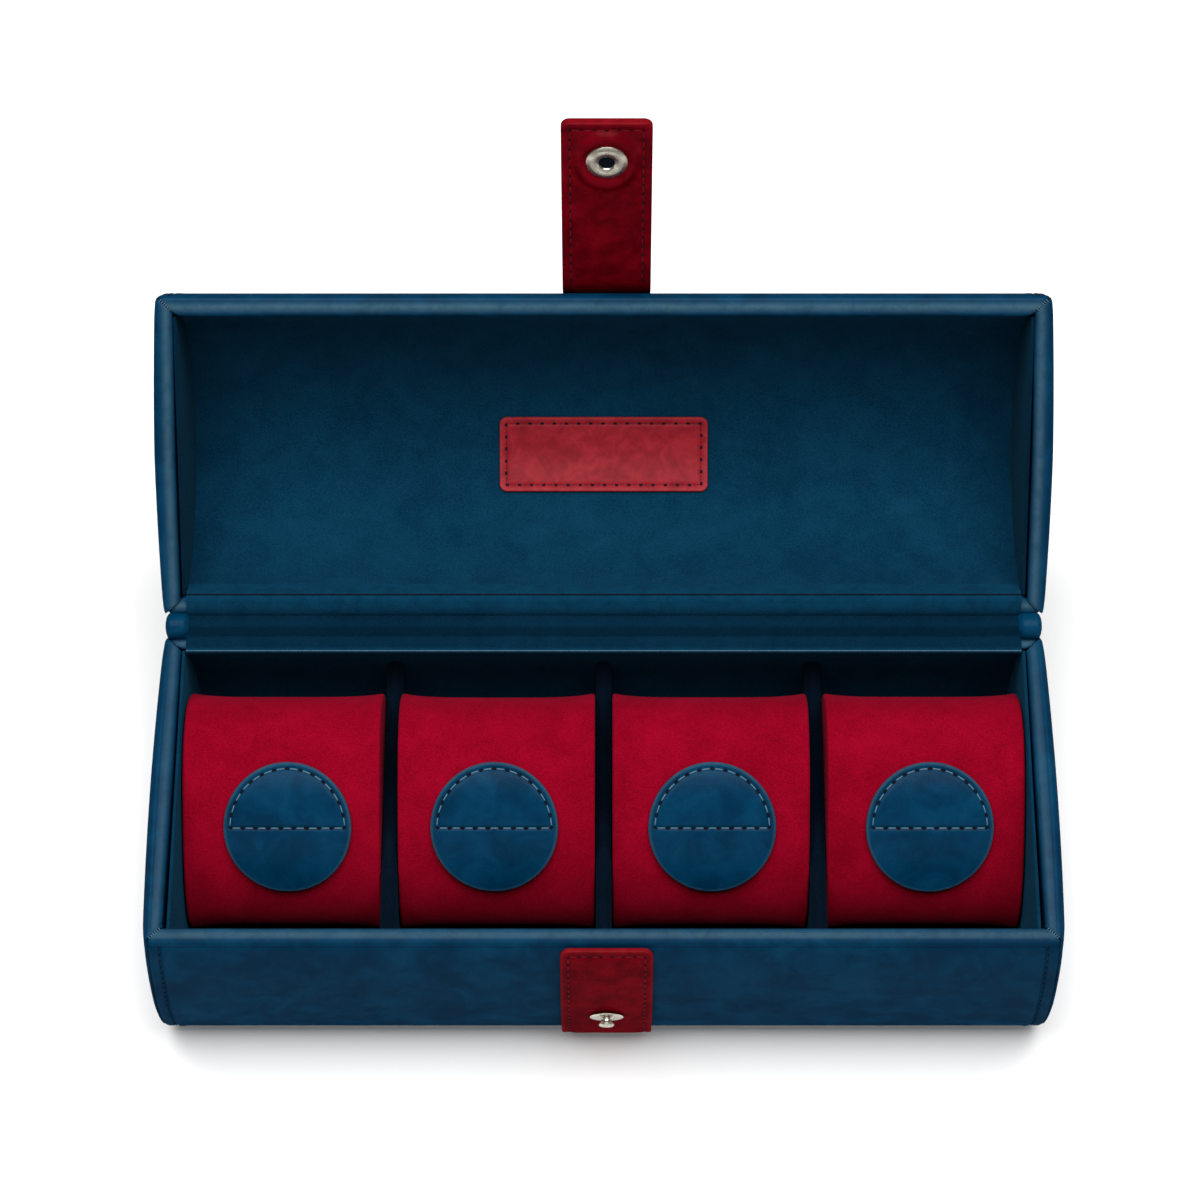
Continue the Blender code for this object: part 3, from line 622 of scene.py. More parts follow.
def rimWearAndHighlight(across, height, top, centre, share):
    # paler leather along the crown of a rim, partly wear and partly a painted highlight: share *
    # bell(across - centre)
    onTop = limited((height - top + rimShape["wearAndHighlightFrom"]) / rimShape["wearAndHighlightRise"])
    return share * onTop * bell(across - centre, rimShape["wearAndHighlightWide"])


def flared(word, points):
    # the base's ends stand out a little more low down and in front: x times
    # 1 + low * down + front * ahead + back * behind; the lid's draw in towards the front
    points = np.array(points, float)
    share = flare[word]
    down = limited((walls[word]["rim"] - points[:, 2]) / flare["lowBy"])
    ahead = limited(-points[:, 1] / rimDepth)
    behind = limited(points[:, 1] / rimDepth)
    near = limited((np.abs(points[:, 0]) - flare["from"]) / flare["fade"])
    points[:, 0] *= 1 + (share["low"] * down + share["front"] * ahead
                         + share["back"] * behind) * near
    return points


def sweepMitred(ring, into, outside, seam, line, half, runs, round0):
    # a closed ring of (y, z) carried along X to mitred ends whose outer corners are rounded:
    # a point at depth d under the outside turns in on an arc of radius (round - d)
    depth, inward = depthUnder(ring, line)
    r = np.maximum(round0 - depth, 0.0)[:, None]
    straight = (half - np.maximum(depth, round0))[:, None]
    total = straight + r * pi / 4
    zone = runs["cornerLength"]
    share = np.linspace(-1, 1, runs["middle"])[None, 1:-1]
    fromEnd = fromCorner(zone, runs["corner"])
    along = np.concatenate([-(total - fromEnd[:, ::-1]), share * (total - zone),
                            total - fromEnd], 1)
    far = np.abs(along)
    over = np.clip(far - straight, 0, None)
    arc = np.where(r > 1e-9, over / np.maximum(r, 1e-9), 0.0)
    x = np.sign(along) * (np.minimum(far, straight) + np.where(r > 1e-9, r * np.sin(arc), over))
    sink = r * (1 - np.cos(arc))
    yz = ring[:, None] + inward[:, None] * sink[:, :, None]
    s = seamShape
    fromEnd = total - far
    groove = s["deep"] * bell(fromEnd - s["from"], s["wide"])
    groove -= s["ridge"] * bell(fromEnd - s["from"] - s["ridgeFrom"], s["ridgeWide"])
    pinch = s["pinch"] * bell(fromEnd, s["pinchWide"])
    dip = groove * seam[:, None] + pinch * (1 - outside[:, None])
    yz = yz + into[:, None] * dip[:, :, None]
    return np.dstack([x, yz])


def makeCover(word):
    # the leather skin: its path outside and the same path one skin further in, swept
    wall = walls[word]
    path, outside, seam = coverPath(wall)
    into = leftNormals(path)
    ring = np.vstack([path, (path + into * case["skin"])[::-1]])
    bothInto = np.vstack([into, into[::-1]])
    both, seams = (np.concatenate([share, share[::-1]]) for share in (outside, seam))
    grid = sweepMitred(ring, bothInto, both, seams, wall["line"], halfLength,
                       coverRuns, case["cornerRound"])
    rows, columns = grid.shape[:2]
    faces = gridFaces(rows, columns, aroundRows=True) + sheetEnds(len(path), columns)
    points = grid.reshape(-1, 3)
    # the paler crown of the rims, partly wear and partly a painted highlight, goes into the
    # attribute edge
    across = np.abs(points[:, 1])
    top = wall["rim"] - case["rebate"] * (points[:, 1] > 0)
    wearAndHighlight = rimWearAndHighlight(across, points[:, 2], top, rimDepth - wall["far"] * 0.5, wall["wearAndHighlight"])
    piece = addMesh(word + "Leather", placedAs(word)(flared(word, points)), faces, blueLeather,
                    50, attributes={"edge": wearAndHighlight})
    return dress(piece, word, "blue_leather", word + "_cover")


# Padded ends: a D-shaped face with a rounded edge, and a rim rolled over to the inside


# its last number places the paler crown of the end's rim across the roll, partly wear and partly a
# painted highlight
endShape = {"wallCount": 200, "rimCount": 60, "levelCount": 7, "cornerZone": 0.006,
            "cornerCount": 16, "middle": 0.48, "edgeShare": 0.1, "edgeRings": 15,
            "faceRings": 22, "innerRings": 8, "swellPower": 6, "wearAndHighlightAt": 0.62}


def makeEnd(word, side):
    # one end is two D-shaped faces in rings, x = outside - drop near the edge + swell + bow,
    # and a roll over the rim between them
    wall, shape = walls[word], endShape
    line, rim = wall["line"], wall["rim"]
    r, thick = case["cornerRound"], case["endThick"]
    outEase, inEase = rimShape["outEase"], rimShape["inEase"]
    outX = halfLength + seat * 2 ** 0.5
    cut = r * (1 - 0.5 ** 0.5)
    tall = rim - line[:, 1].min()
    outerWall = under(shifted(line, cut), rim - outEase, rim - outEase, shape["wallCount"])
    # the roll over the rim: (depth behind the face, height), from outside to inside
    t = np.linspace(0, 1, shape["levelCount"])[:, None]
    rollOut = np.array([0.0, rim - outEase])
    over = np.array([outEase, rim])
    back = np.array([thick - inEase, rim])
    rollIn = np.array([thick, rim - inEase])
    level = crowned(over + (back - over) * t, t)
    roll = np.vstack([rollOut, eased(rollOut, np.array([0.0, rim]), over), level,
                      eased(back, np.array([thick, rim]), rollIn), rollIn])
    d = roll[:, 0][:, None]
    rho = np.maximum(r - d, 0)
    straight = rimDepth - np.maximum(d, r)
    total = straight + rho * pi / 4
    zone, corner = shape["cornerZone"], shape["cornerCount"]
    near = fromCorner(zone, corner)
    share = np.linspace(-1, 1, shape["rimCount"] - 2 * corner + 2)[None, 1:-1]
    along = np.concatenate([-(total - near[:, ::-1]), share * (total - zone), total - near], 1)
    far = np.abs(along)
    turned = np.where(rho > 1e-9, np.clip(far - straight, 0, None) / np.maximum(rho, 1e-9), 0)
    y = np.sign(along) * np.where(rho > 1e-9, np.minimum(far, straight) + rho * np.sin(turned),
                                  far)
    fromEnd = total - far
    pinch = seamShape["pinch"] * bell(fromEnd, seamShape["pinchWide"])
    depth = d + rho * (1 - np.cos(turned)) + pinch * leftNormals(roll)[:, 0][:, None]
    height = roll[:, 1][:, None] - pinch
    height[0] = roll[0, 1]
    depth[0] = rho[0] * (1 - np.cos(turned[0]))

    def bow(yy, zz):
        return (case["endBow"] * np.clip(1 - (yy / rimDepth) ** 2, 0, None)
                * np.clip(1 - 2 * (rim - zz) / tall, 0, None))

    fadeIn = limited(1 - d / thick)
    rollPoints = np.dstack([outX - depth + bow(y, height) * fadeIn, y, height])
    # the outer face: rings from the edge to the middle. x drops on a circle near the walls.
    rimRow = rollPoints[0][::-1, 1:]
    edge = np.vstack([outerWall[1:-1], rimRow])
    middle = np.array([0.0, rim - tall * shape["middle"]])
    rings = 1 - np.concatenate([np.linspace(0, shape["edgeShare"], shape["edgeRings"]),
                                np.linspace(shape["edgeShare"], 1, shape["faceRings"])[1:-1]])
    face = middle + (edge[None] - middle) * rings[:, None, None]
    flat = face.reshape(-1, 2)
    inset = depthUnder(flat, line)[0].reshape(face.shape[:2])
    swell = wall["swell"] * (1 - rings[:, None] ** shape["swellPower"])
    faceX = outX - roundDrop(inset, r) + swell + bow(face[:, :, 0], face[:, :, 1])
    faceX[0, len(outerWall) - 2:] = rollPoints[0][::-1, 0]
    outer = np.dstack([faceX, face])
    # the inner face, in rings too
    innerWall = under(shifted(line, thick), rim - inEase, rim - inEase, shape["wallCount"])
    innerRim = rollPoints[-1][::-1, 1:]
    innerEdge = np.vstack([innerWall[1:-1], innerRim])
    innerRings = np.linspace(1, 0, shape["innerRings"])[:-1]
    inner = middle + (innerEdge[None] - middle) * innerRings[:, None, None]
    inner = np.dstack([np.full(inner.shape[:2], outX - thick), inner])
    around = len(edge)
    points = [outer.reshape(-1, 3), np.array([[outX + wall["swell"], *middle]]),
              inner.reshape(-1, 3), np.array([[outX - thick, *middle]]),
              rollPoints[1:-1, ::-1].reshape(-1, 3)]
    starts = np.cumsum([0] + [len(p) for p in points])
    faces = gridFaces(len(rings), around, aroundColumns=True)
    faces += gridFaces(len(innerRings), around, aroundColumns=True, start=starts[2])
    a, b = pairsRound(around)
    for last, pole in (((len(rings) - 1) * around, starts[1]),
                       (starts[2] + (len(innerRings) - 1) * around, starts[3])):
        faces += fan(a + last, b + last, pole)
    # the hidden mitre between the wall edges of the two faces
    w = len(outerWall) - 2
    a = np.arange(-1, w)
    a, b = a % around, (a + 1) % around
    faces += np.column_stack([a, b, b + starts[2], a + starts[2]]).tolist()
    # the roll, between the rim edges of the two faces
    rows = len(roll)
    columns = rollPoints.shape[1]
    index = np.zeros((rows, columns), int)
    index[0] = w + np.arange(columns)
    index[-1] = starts[2] + w + np.arange(columns)
    index[1:-1] = starts[4] + np.arange((rows - 2) * columns).reshape(rows - 2, columns)
    faces += np.stack([index[:-1, :-1], index[:-1, 1:], index[1:, 1:], index[1:, :-1]],
                      2).reshape(-1, 4).tolist()
    faces.append(index[:, 0].tolist())
    faces.append(index[:, -1].tolist())
    points = np.vstack(points)
    points[:, 0] *= side
    # the paler crown of the end's rim, partly wear and partly a painted highlight, goes into the
    # attribute edge
    wearAndHighlight = rimWearAndHighlight(np.abs(points[:, 0]), points[:, 2], rim, outX - thick * shape["wearAndHighlightAt"],
                   wall["endWearAndHighlight"])
    piece = addMesh(word + "End" + hands[side], placedAs(word)(flared(word, points)), faces,
                    blueLeather, 50, attributes={"edge": wearAndHighlight})
    return dress(piece, word, "blue_leather", word + "_end_" + hands[side].lower())


for word in ("base", "lid"):
    makeCover(word)
    for side in (-1, 1):
        makeEnd(word, side)
print("leather walls and ends made")


# Suede linings: sheets carried along X with square ends


def thinRing(near, far):
    # the closed outline of a thin sheet, from its two sides
    return np.vstack([near, far[::-1]])


def sweepPlain(name, ring, half, material, count=40, place=None, sharp=50, attributes=None):
    # a closed ring of (y, z) carried between -half and half, its two ends filled in
    x = np.broadcast_to(np.linspace(-1, 1, count) * half, (len(ring), count))
    grid = np.dstack([x, np.repeat(ring[:, None, 0], count, 1),
                      np.repeat(ring[:, None, 1], count, 1)])
    faces = gridFaces(len(ring), count, aroundRows=True) + sheetEnds(len(ring) // 2, count)
    points = grid.reshape(-1, 3)
    return addMesh(name, place(points) if place else points, faces, material, sharp,
                   attributes=attributes)


lining = {"count": 240, "lip": 0.0004, "lipCount": 2.0, "endTop": 0.0016, "endCount": 200,
          "rimCount": 40, "edgeRound": 0.00045, "arc": 9, "shares": (0.96, 0.7, 0.4, 0.15)}

for word in ("base", "lid"):
    wall = walls[word]
    top = wall["rim"] - wall["foldFront"] - seat
    backTop = wall["rim"] - case["rebate"] - wall["foldBack"] - seat
    near = under(shifted(wall["line"], wall["liningNear"]), top, backTop, lining["count"])
    far = under(shifted(wall["line"], wall["far"]), top, backTop, lining["count"])
    tuck = lining["lip"] * bell(np.arange(lining["count"]), lining["lipCount"])
    far = far - leftNormals(far) * tuck[:, None]
    piece = sweepPlain(word + "Lining", thinRing(near, far), case["liningHalf"], blueSuede,
                       place=placedAs(word))
    dress(piece, word, "blue_suede", word + "_lining")


def makeEndLining(word, side):
    # a D-shaped suede panel whose edge is rounded: rings of (share to the middle, depth in x)
    wall = walls[word]
    rim, flat = wall["rim"], lining["shares"]
    top = rim - lining["endTop"]
    outer = under(shifted(wall["line"], wall["clear"]), top, top, lining["endCount"])
    straight = np.linspace(0, 1, lining["rimCount"])[1:-1, None]
    edge = np.vstack([outer, outer[-1] + (outer[0] - outer[-1]) * straight])
    middle = np.array([0.0, rim - (rim - wall["line"][:, 1].min()) * endShape["middle"]])
    thick = case["liningThick"]
    t = np.linspace(0, pi, lining["arc"])
    insets = lining["edgeRound"] * (1 - np.sin(t))
    depths = np.concatenate([thick / 2 - thick / 2 * np.cos(t), [thick] * len(flat)])
    size = np.linalg.norm(edge - middle, axis=1)
    shares = np.vstack([1 - insets[:, None] / size[None],
                        np.repeat(np.array(flat)[:, None], len(edge), 1)])
    grid = middle + (edge[None] - middle) * shares[:, :, None]
    x = np.broadcast_to((case["liningHalf"] - depths)[:, None], shares.shape)
    points = np.dstack([x, grid]).reshape(-1, 3)
    points = np.vstack([points, [[case["liningHalf"] - thick, *middle]],
                        [[case["liningHalf"], *middle]]])
    around = len(edge)
    faces = gridFaces(len(depths), around, aroundColumns=True)
    a, b = pairsRound(around)
    low = (len(depths) - 1) * around
    faces += fan(a + low, b + low, len(points) - 2) + fan(b, a, len(points) - 1)
    points[:, 0] *= side
    # the lid's end linings take the darker suede: painted shade
    look = blueSuede if word == "base" else paintedShadeSuede
    piece = addMesh(word + "EndLining" + hands[side], placedAs(word)(points), faces, look, 50)
    return dress(piece, word, "blue_suede", word + "_end_lining_" + hands[side].lower())


for word in ("base", "lid"):
    for side in (-1, 1):
        makeEndLining(word, side)

# some of these numbers size painted light: how much lighter the strip is in the lid and in the
# base, the widths of the painted shade in the fold and of the painted highlight along the bend,
# and the radii of a dark cord of painted shadow and a pale cord of painted highlight
hinge = {"stripThick": 0.001, "stripHalf": 0.1322, "depthBase": 0.009, "depthLid": 0.0068,
         "rollRadius": 0.0032, "endRadius": 0.0042, "rollHalf": 0.1388, "tuckRadius": 0.00105,
         "wave": ((-0.0043, -0.0009), (-0.0031, -0.0012), (-0.0019, 0.0004),
                  (-0.00065, 0.0019)), "bendHighlightWide": 0.0006, "seam": 0.0003,
         "lidLight": 0.7, "baseLight": 0.12, "foldShade": 0.0024, "foldShift": 0.0012,
         "crease": 0.00011, "turnIn": 0.0022, "reach": 0.0024, "runCount": 24, "count": 200,
         "stations": 60, "bendDown": 0.0009, "endThin": 0.35, "thinCount": 2.0,
         "rollStations": 120, "rollAround": 48, "rollCrowd": 1.6, "tuckHalf": 88.0,
         "tuckFade": 26.0, "coverIn": 0.0001, "coverFade": 0.0005, "endZone": 0.0014,
         "endSmall": 0.85}
bisector = radians(90 + (180 - case["openDegrees"]) / 2)
bisect = np.array((cos(bisector), sin(bisector)))
towardCamera = np.array((-0.45, 0.9))


def makeHingeStrip():
    # one sheet of suede from inside the lid, over both back rims and the roll, into the base
    half = hinge["stripThick"] / 2
    runs = []
    for word, deep in (("base", hinge["depthBase"]), ("lid", hinge["depthLid"])):
        wall = walls[word]
        top = wall["rim"] - case["rebate"]
        level = top + seat + half
        middle = shifted(wall["line"], wall["clear"] + half)
        lip = onWall(middle, [level], True)[0]
        low = onWall(middle, np.linspace(top - deep, level - hinge["turnIn"],
                                         hinge["runCount"]), True)
        flat = lip + (hinge["reach"], 0.0)
        corner = eased(low[-1], lip, flat)
        run = np.vstack([low, corner, flat])
        runs.append(lidLinePlace(run) if word == "lid" else run)
    lidCorner = runs[1][len(low) + len(corner) // 2]
    wave = np.array(hinge["wave"])
    other = 2 * (wave @ bisect)[:, None] * bisect - wave
    bridge = np.vstack([wave, other[::-1][1:]]) + hingeAt[1:]
    line = np.vstack([runs[0], bridge, runs[1][::-1]])
    count = hinge["count"]
    line = evenly(smoothLine(line, 4), count)
    normal = leftNormals(line)
    fromEnd = np.minimum(np.arange(count), np.arange(count)[::-1])
    thin = half * np.clip(fromEnd / hinge["thinCount"], hinge["endThin"], 1)
    near, far = line + normal * thin[:, None], line - normal * thin[:, None]
    # painted light: the suede is painted lighter up in the lid, where it faces the light, with
    # painted shade in the fold and a lighter line along the bend, partly rubbed nap and partly a
    # painted highlight
    wall = walls["base"]
    bend = onWall(shifted(wall["line"], wall["clear"]), [wall["rim"] - hinge["bendDown"]],
                  True)[0]
    lines = lengthsAlong(line)
    foldAt = lines[np.argmin(np.linalg.norm(line - bridge[-1], axis=1))] - hinge["foldShift"]
    side = np.where(lines > foldAt, hinge["lidLight"], hinge["baseLight"])
    wearAndHighlight = side * (1 - bell(lines - foldAt, hinge["foldShade"]))
    wearAndHighlight = wearAndHighlight + bell(np.linalg.norm(line - bend, axis=1), hinge["bendHighlightWide"])
    wearAndHighlight = np.repeat(limited(np.concatenate([wearAndHighlight, wearAndHighlight[::-1]])), hinge["stations"])
    piece = sweepPlain("hingeStrip", thinRing(near, far), hinge["stripHalf"], paintedShadeSuede,
                       hinge["stations"], attributes={"edge": wearAndHighlight})
    # a dark cord along the lid rim's inner corner, a painted shadow of the gap there, and a pale
    # cord along the lower bend, partly rubbed nap and partly a painted highlight
    circle = np.column_stack([np.cos(fullTurn(8)), np.sin(fullTurn(8))])
    for name, at, r, look, body in (
            ("hingeShadowCord", lidCorner, hinge["seam"], holeShade, "lid"),
            ("hingeBendHighlight", bend, hinge["crease"], paleThread, "base")):
        k = np.argmin(np.linalg.norm(line - at, axis=1))
        up = normal[k] * np.sign(normal[k] @ towardCamera)
        cord = sweepPlain(name, line[k] + up * half + r * circle, hinge["stripHalf"], look, 30)
        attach(cord, body)
    start = (0, *(hingeAt[1:] + wave[1]))
    end = (0, *(hingeAt[1:] + other[1]))
    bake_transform(piece)
    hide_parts("hinge_strip_base", "hinge_strip_lid")
    return start, end


def makeHingeRoll(start, end):
    # round about the hinge, but tucked in under the suede strip between its two ends:
    # radius(turn, x) = full - (full - tuck) * inTuck(turn) * underStrip(x)
    count, around = hinge["rollStations"], hinge["rollAround"]
    share = np.linspace(-1, 1, count)
    x = hinge["rollHalf"] * np.sign(share) * (1 - (1 - np.abs(share)) ** hinge["rollCrowd"])
    turn = fullTurn(around)
    off = np.abs((turn - bisector + pi) % (2 * pi) - pi)
    inTuck = limited((radians(hinge["tuckHalf"]) - off) / radians(hinge["tuckFade"]))
    underStrip = limited((hinge["stripHalf"] - hinge["coverIn"] - np.abs(x))
                         / hinge["coverFade"])
    full = hinge["rollRadius"] + (hinge["endRadius"] - hinge["rollRadius"]) * (1 - underStrip)
    fromEnd = limited(1 - (hinge["rollHalf"] - np.abs(x)) / hinge["endZone"])
    ends = np.sqrt(limited(1 - hinge["endSmall"] * fromEnd ** 2))
    radius = (full * ends)[None] - ((full - hinge["tuckRadius"]) * underStrip)[None] \
        * inTuck[:, None]
    points = np.dstack([np.broadcast_to(x, radius.shape),
                        hingeAt[1] + radius * np.cos(turn)[:, None],
                        hingeAt[2] + radius * np.sin(turn)[:, None]])
    faces = gridFaces(around, count, aroundRows=True)
    ring = np.arange(around)
    faces += [(ring * count).tolist(), (ring * count + count - 1).tolist()]
    piece = addMesh("hingeRoll", points.reshape(-1, 3), faces, blueLeather, 50)
    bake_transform(piece)
    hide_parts("hinge_roll")


makeHingeRoll(*makeHingeStrip())
print("suede linings and hinge made")

dividers = {"thick": 0.0049, "top": 0.0545, "count": 4, "stations": 70, "clear": 0.0002,
            "roundShare": 0.4, "arc": 15}
insideHalf = case["liningHalf"] - case["liningThick"] - seat
pitch = (2 * insideHalf + dividers["thick"]) / dividers["count"]
firstDivider = -insideHalf - dividers["thick"] / 2


def makeDivider(number):
    # at each y a strip stands between the floor's line and the top, with a round upper edge
    line = shifted(baseLine, walls["base"]["clear"])
    low = np.argmin(line[:, 0]), np.argmax(line[:, 0])
    widest = line[low[1], 0] - dividers["clear"]
    y = widest * np.sin(np.linspace(-pi / 2, pi / 2, dividers["stations"]))
    bottom = line[low[0]:low[1] + 1]
    lowest = np.interp(y, bottom[:, 0], bottom[:, 1])
    left, right = line[:low[0] + 1][::-1], line[low[1]:]
    ceiling = np.where(y < left[-1, 0], np.interp(y, left[:, 0], left[:, 1]), 1.0)
    ceiling = np.where(y > right[-1, 0],
                       np.interp(y, right[::-1][:, 0], right[::-1][:, 1]), ceiling)
    top = np.minimum(ceiling, dividers["top"])
    half = dividers["thick"] / 2
    rounding = np.minimum(half, (top - lowest) * dividers["roundShare"])
    t = np.linspace(0, pi, dividers["arc"])[None]
    x = np.concatenate([[[-half]], -np.cos(t) * half, [[half]]], 1) * np.ones((len(y), 1))
    arch = (top - rounding)[:, None] + np.sin(t) * rounding[:, None]
    z = np.concatenate([lowest[:, None], arch, lowest[:, None]], 1)
    grid = np.dstack([x + firstDivider + number * pitch, np.broadcast_to(y[:, None], x.shape), z])
    rows, columns = x.shape
    faces = gridFaces(rows, columns, aroundColumns=True)
    faces += [np.arange(columns).tolist(), ((rows - 1) * columns + np.arange(columns)).tolist()]
    piece = addMesh("divider%d" % number, grid.reshape(-1, 3), faces, dividerSuede, 60)
    dress(piece, "base", "blue_suede", "divider_%d" % number)


for number in (1, 2, 3):
    makeDivider(number)
print("dividers made")

# Cushions: suede wrapped round an oval block, its ends sewn on flat. A cloth simulation
# fills out the suede between the two end seams.

cushion = {
    "half": (pitch - dividers["thick"]) / 2 - seat, "long": 0.0375, "short": 0.0255,
    "power": 2.35, "tilt": 35.0, "y": 0.0065, "z": 0.0405, "around": 132, "stations": 37,
    "endRound": 0.0009, "slack": 0.0011, "slackPower": 5.0, "sag": 0.0004,
    "pressure": 4.0, "frames": 20, "cap": 0.006, "quality": 6, "gain": (0.1, 2.5),
    "faceFrom": 0.75, "faceHalf": 0.02, "arc": 7, "shrink": (0.93, 0.75, 0.5, 0.25),
    "waves": 3, "waveHigh": 0.12, "unlike": (0.0, 1.7, 3.1, 4.4), "held": 1.01,
}
tilt = radians(cushion["tilt"])
longWay = np.array((cos(tilt), sin(tilt)))
shortWay = np.array((-sin(tilt), cos(tilt)))
cushionMiddle = np.array((cushion["y"], cushion["z"]))


def cushionSection(turn, long, short, power):
    # a superellipse: each axis times the power 2/p of its cosine or sine, tilted
    a = long * signedPower(np.cos(turn), 2 / power)
    b = short * signedPower(np.sin(turn), 2 / power)
    return a[:, None] * longWay + b[:, None] * shortWay + cushionMiddle


def cushionX(number):
    # the middle of a compartment
    return firstDivider + (number - 0.5) * pitch


def cushionGrid(number):
    # rings along X: inset = slack * (1 - |share|^power) over the face, an arc at each end
    # seam, then rings across the flat end. Also says which points the end seams hold.
    around = cushion["around"]
    section = cushionSection(np.linspace(0, 2 * pi, 2001), cushion["long"], cushion["short"],
                             cushion["power"])
    section = evenly(section, around + 1)[:-1]
    into = leftNormals(np.vstack([section[-3:], section, section[:3]]))[3:-3]
    half, r = cushion["half"], cushion["endRound"]
    share = np.sin(np.linspace(-pi / 2, pi / 2, cushion["stations"]))
    x = share * (half - r)
    wave = 1 + cushion["waveHigh"] * np.sin(2 * pi * np.arange(around) / around
                                            * cushion["waves"]
                                            + cushion["unlike"][number - 1])[:, None]
    inset = cushion["slack"] * (1 - np.abs(share) ** cushion["slackPower"])[None] * wave
    t = np.linspace(0, pi / 2, cushion["arc"])[1:]
    arc = np.broadcast_to(r * (1 - np.cos(t)), (around, len(t)))
    inset = np.concatenate([arc[:, ::-1], inset, arc], 1)
    x = np.concatenate([-(half - r + r * np.sin(t))[::-1], x, half - r + r * np.sin(t)])
    yz = section[:, None] + into[:, None] * inset[:, :, None]
    shrink = np.array(cushion["shrink"])
    first = cushionMiddle + (yz[:, :1] - cushionMiddle) * shrink[::-1][None, :, None]
    last = cushionMiddle + (yz[:, -1:] - cushionMiddle) * shrink[None, :, None]
    yz = np.concatenate([first, yz, last], 1)
    x = np.concatenate([np.full(len(shrink), -half), x, np.full(len(shrink), half)])
    grid = np.dstack([np.broadcast_to(x, yz.shape[:2]), yz])
    points = np.vstack([grid.reshape(-1, 3), [[-half, *cushionMiddle], [half, *cushionMiddle]]])
    columns = len(x)
    faces = gridFaces(around, columns, aroundRows=True)
    a, b = pairsRound(around)
    faces += fan(a * columns, b * columns, len(points) - 2)
    faces += fan(b * columns + columns - 1, a * columns + columns - 1, len(points) - 1)
    held = np.abs(points[:, 0]) > half - r * cushion["held"]
    return points, faces, held


def coordinates(mesh):
    # a mesh's points as an array
    flat = np.empty(len(mesh.vertices) * 3, np.float32)
    mesh.vertices.foreach_get("co", flat)
    return flat.reshape(-1, 3).astype(float)


def evaluated(item):
    # a mesh with the object's modifiers worked into it
    graph = bpy.context.evaluated_depsgraph_get()
    return bpy.data.meshes.new_from_object(item.evaluated_get(graph), depsgraph=graph)


def filledOut(piece, held):
    # blows the suede up as cloth, held at its seams, and caps how far each point has moved
    before = coordinates(piece.data)
    group = piece.vertex_groups.new(name="seams")
    group.add(np.flatnonzero(held).tolist(), 1.0, "REPLACE")
    cloth = piece.modifiers.new("Cloth", "CLOTH")
    cloth.settings.quality = cushion["quality"]
    cloth.settings.use_pressure = True
    cloth.settings.uniform_pressure_force = cushion["pressure"]
    cloth.settings.vertex_group_mass = "seams"
    cloth.settings.effector_weights.gravity = 0.0
    scene = bpy.context.scene
    for step in range(1, cushion["frames"] + 1):
        scene.frame_set(step)
    after = coordinates(evaluated(piece))
    piece.modifiers.clear()
    piece.vertex_groups.clear()
    scene.frame_set(1)
    moved = after - before
    far = np.linalg.norm(moved, axis=1)[:, None]
    moved *= np.minimum(far, cushion["cap"]) / np.maximum(far, 1e-9)
    facing = (before[:, 1:] - cushionMiddle) @ shortWay
    middle = ((facing > cushion["short"] * cushion["faceFrom"])
              & (np.abs(before[:, 0]) < cushion["faceHalf"]))
    rise = (moved[middle][:, 1:] @ shortWay).mean()
    print("  cushion rose", round(float(rise) * 1000, 2), "mm, longest way",
          round(float(far.max()) * 1000, 2))
    moved *= np.clip((cushion["slack"] - cushion["sag"]) / max(rise, 1e-6),
                     *cushion["gain"])
    points = before + moved
    points[:, 0] = np.clip(points[:, 0], -cushion["half"], cushion["half"])
    piece.data.vertices.foreach_set("co", points.astype(np.float32).ravel())
    piece.data.update()


def makeCushion(number):
    # the grid filled out, moved to its compartment and made finer once
    points, faces, held = cushionGrid(number)
    piece = addMesh("cushion%d" % number, points, faces, redSuede, 180)
    filledOut(piece, held)
    final = coordinates(piece.data)
    final[:, 0] += cushionX(number)
    piece.data.vertices.foreach_set("co", final.astype(np.float32).ravel())
    finer = piece.modifiers.new("Finer", "SUBSURF")
    finer.levels = finer.render_levels = 1
    smooth = evaluated(piece)
    piece.modifiers.clear()
    piece.data = smooth
    dress(piece, "cushion_%d" % number, "red_suede", "cushion_%d" % number)
    return piece


cushions = {number: makeCushion(number) for number in (1, 2, 3, 4)}
print("cushions made")


# Stitches: threads that dive into holes, their dark colour painted shade


stitchShape = {"rise": 0.00022, "stand": 0.00016, "longer": 1.15, "sunk": 0.0003,
               "along": (-1.0, -0.93, -0.75, -0.4, 0.0, 0.4, 0.75, 0.93, 1.0),
               "threadRound": 6, "holeRound": 10}


def copies(faces, count, size):
    # the faces of one small shape, again for each of so many copies of its points
    faces = np.array(faces)
    return (faces[None] + (np.arange(count) * size)[:, None, None]).reshape(
        -1, faces.shape[1]).tolist()


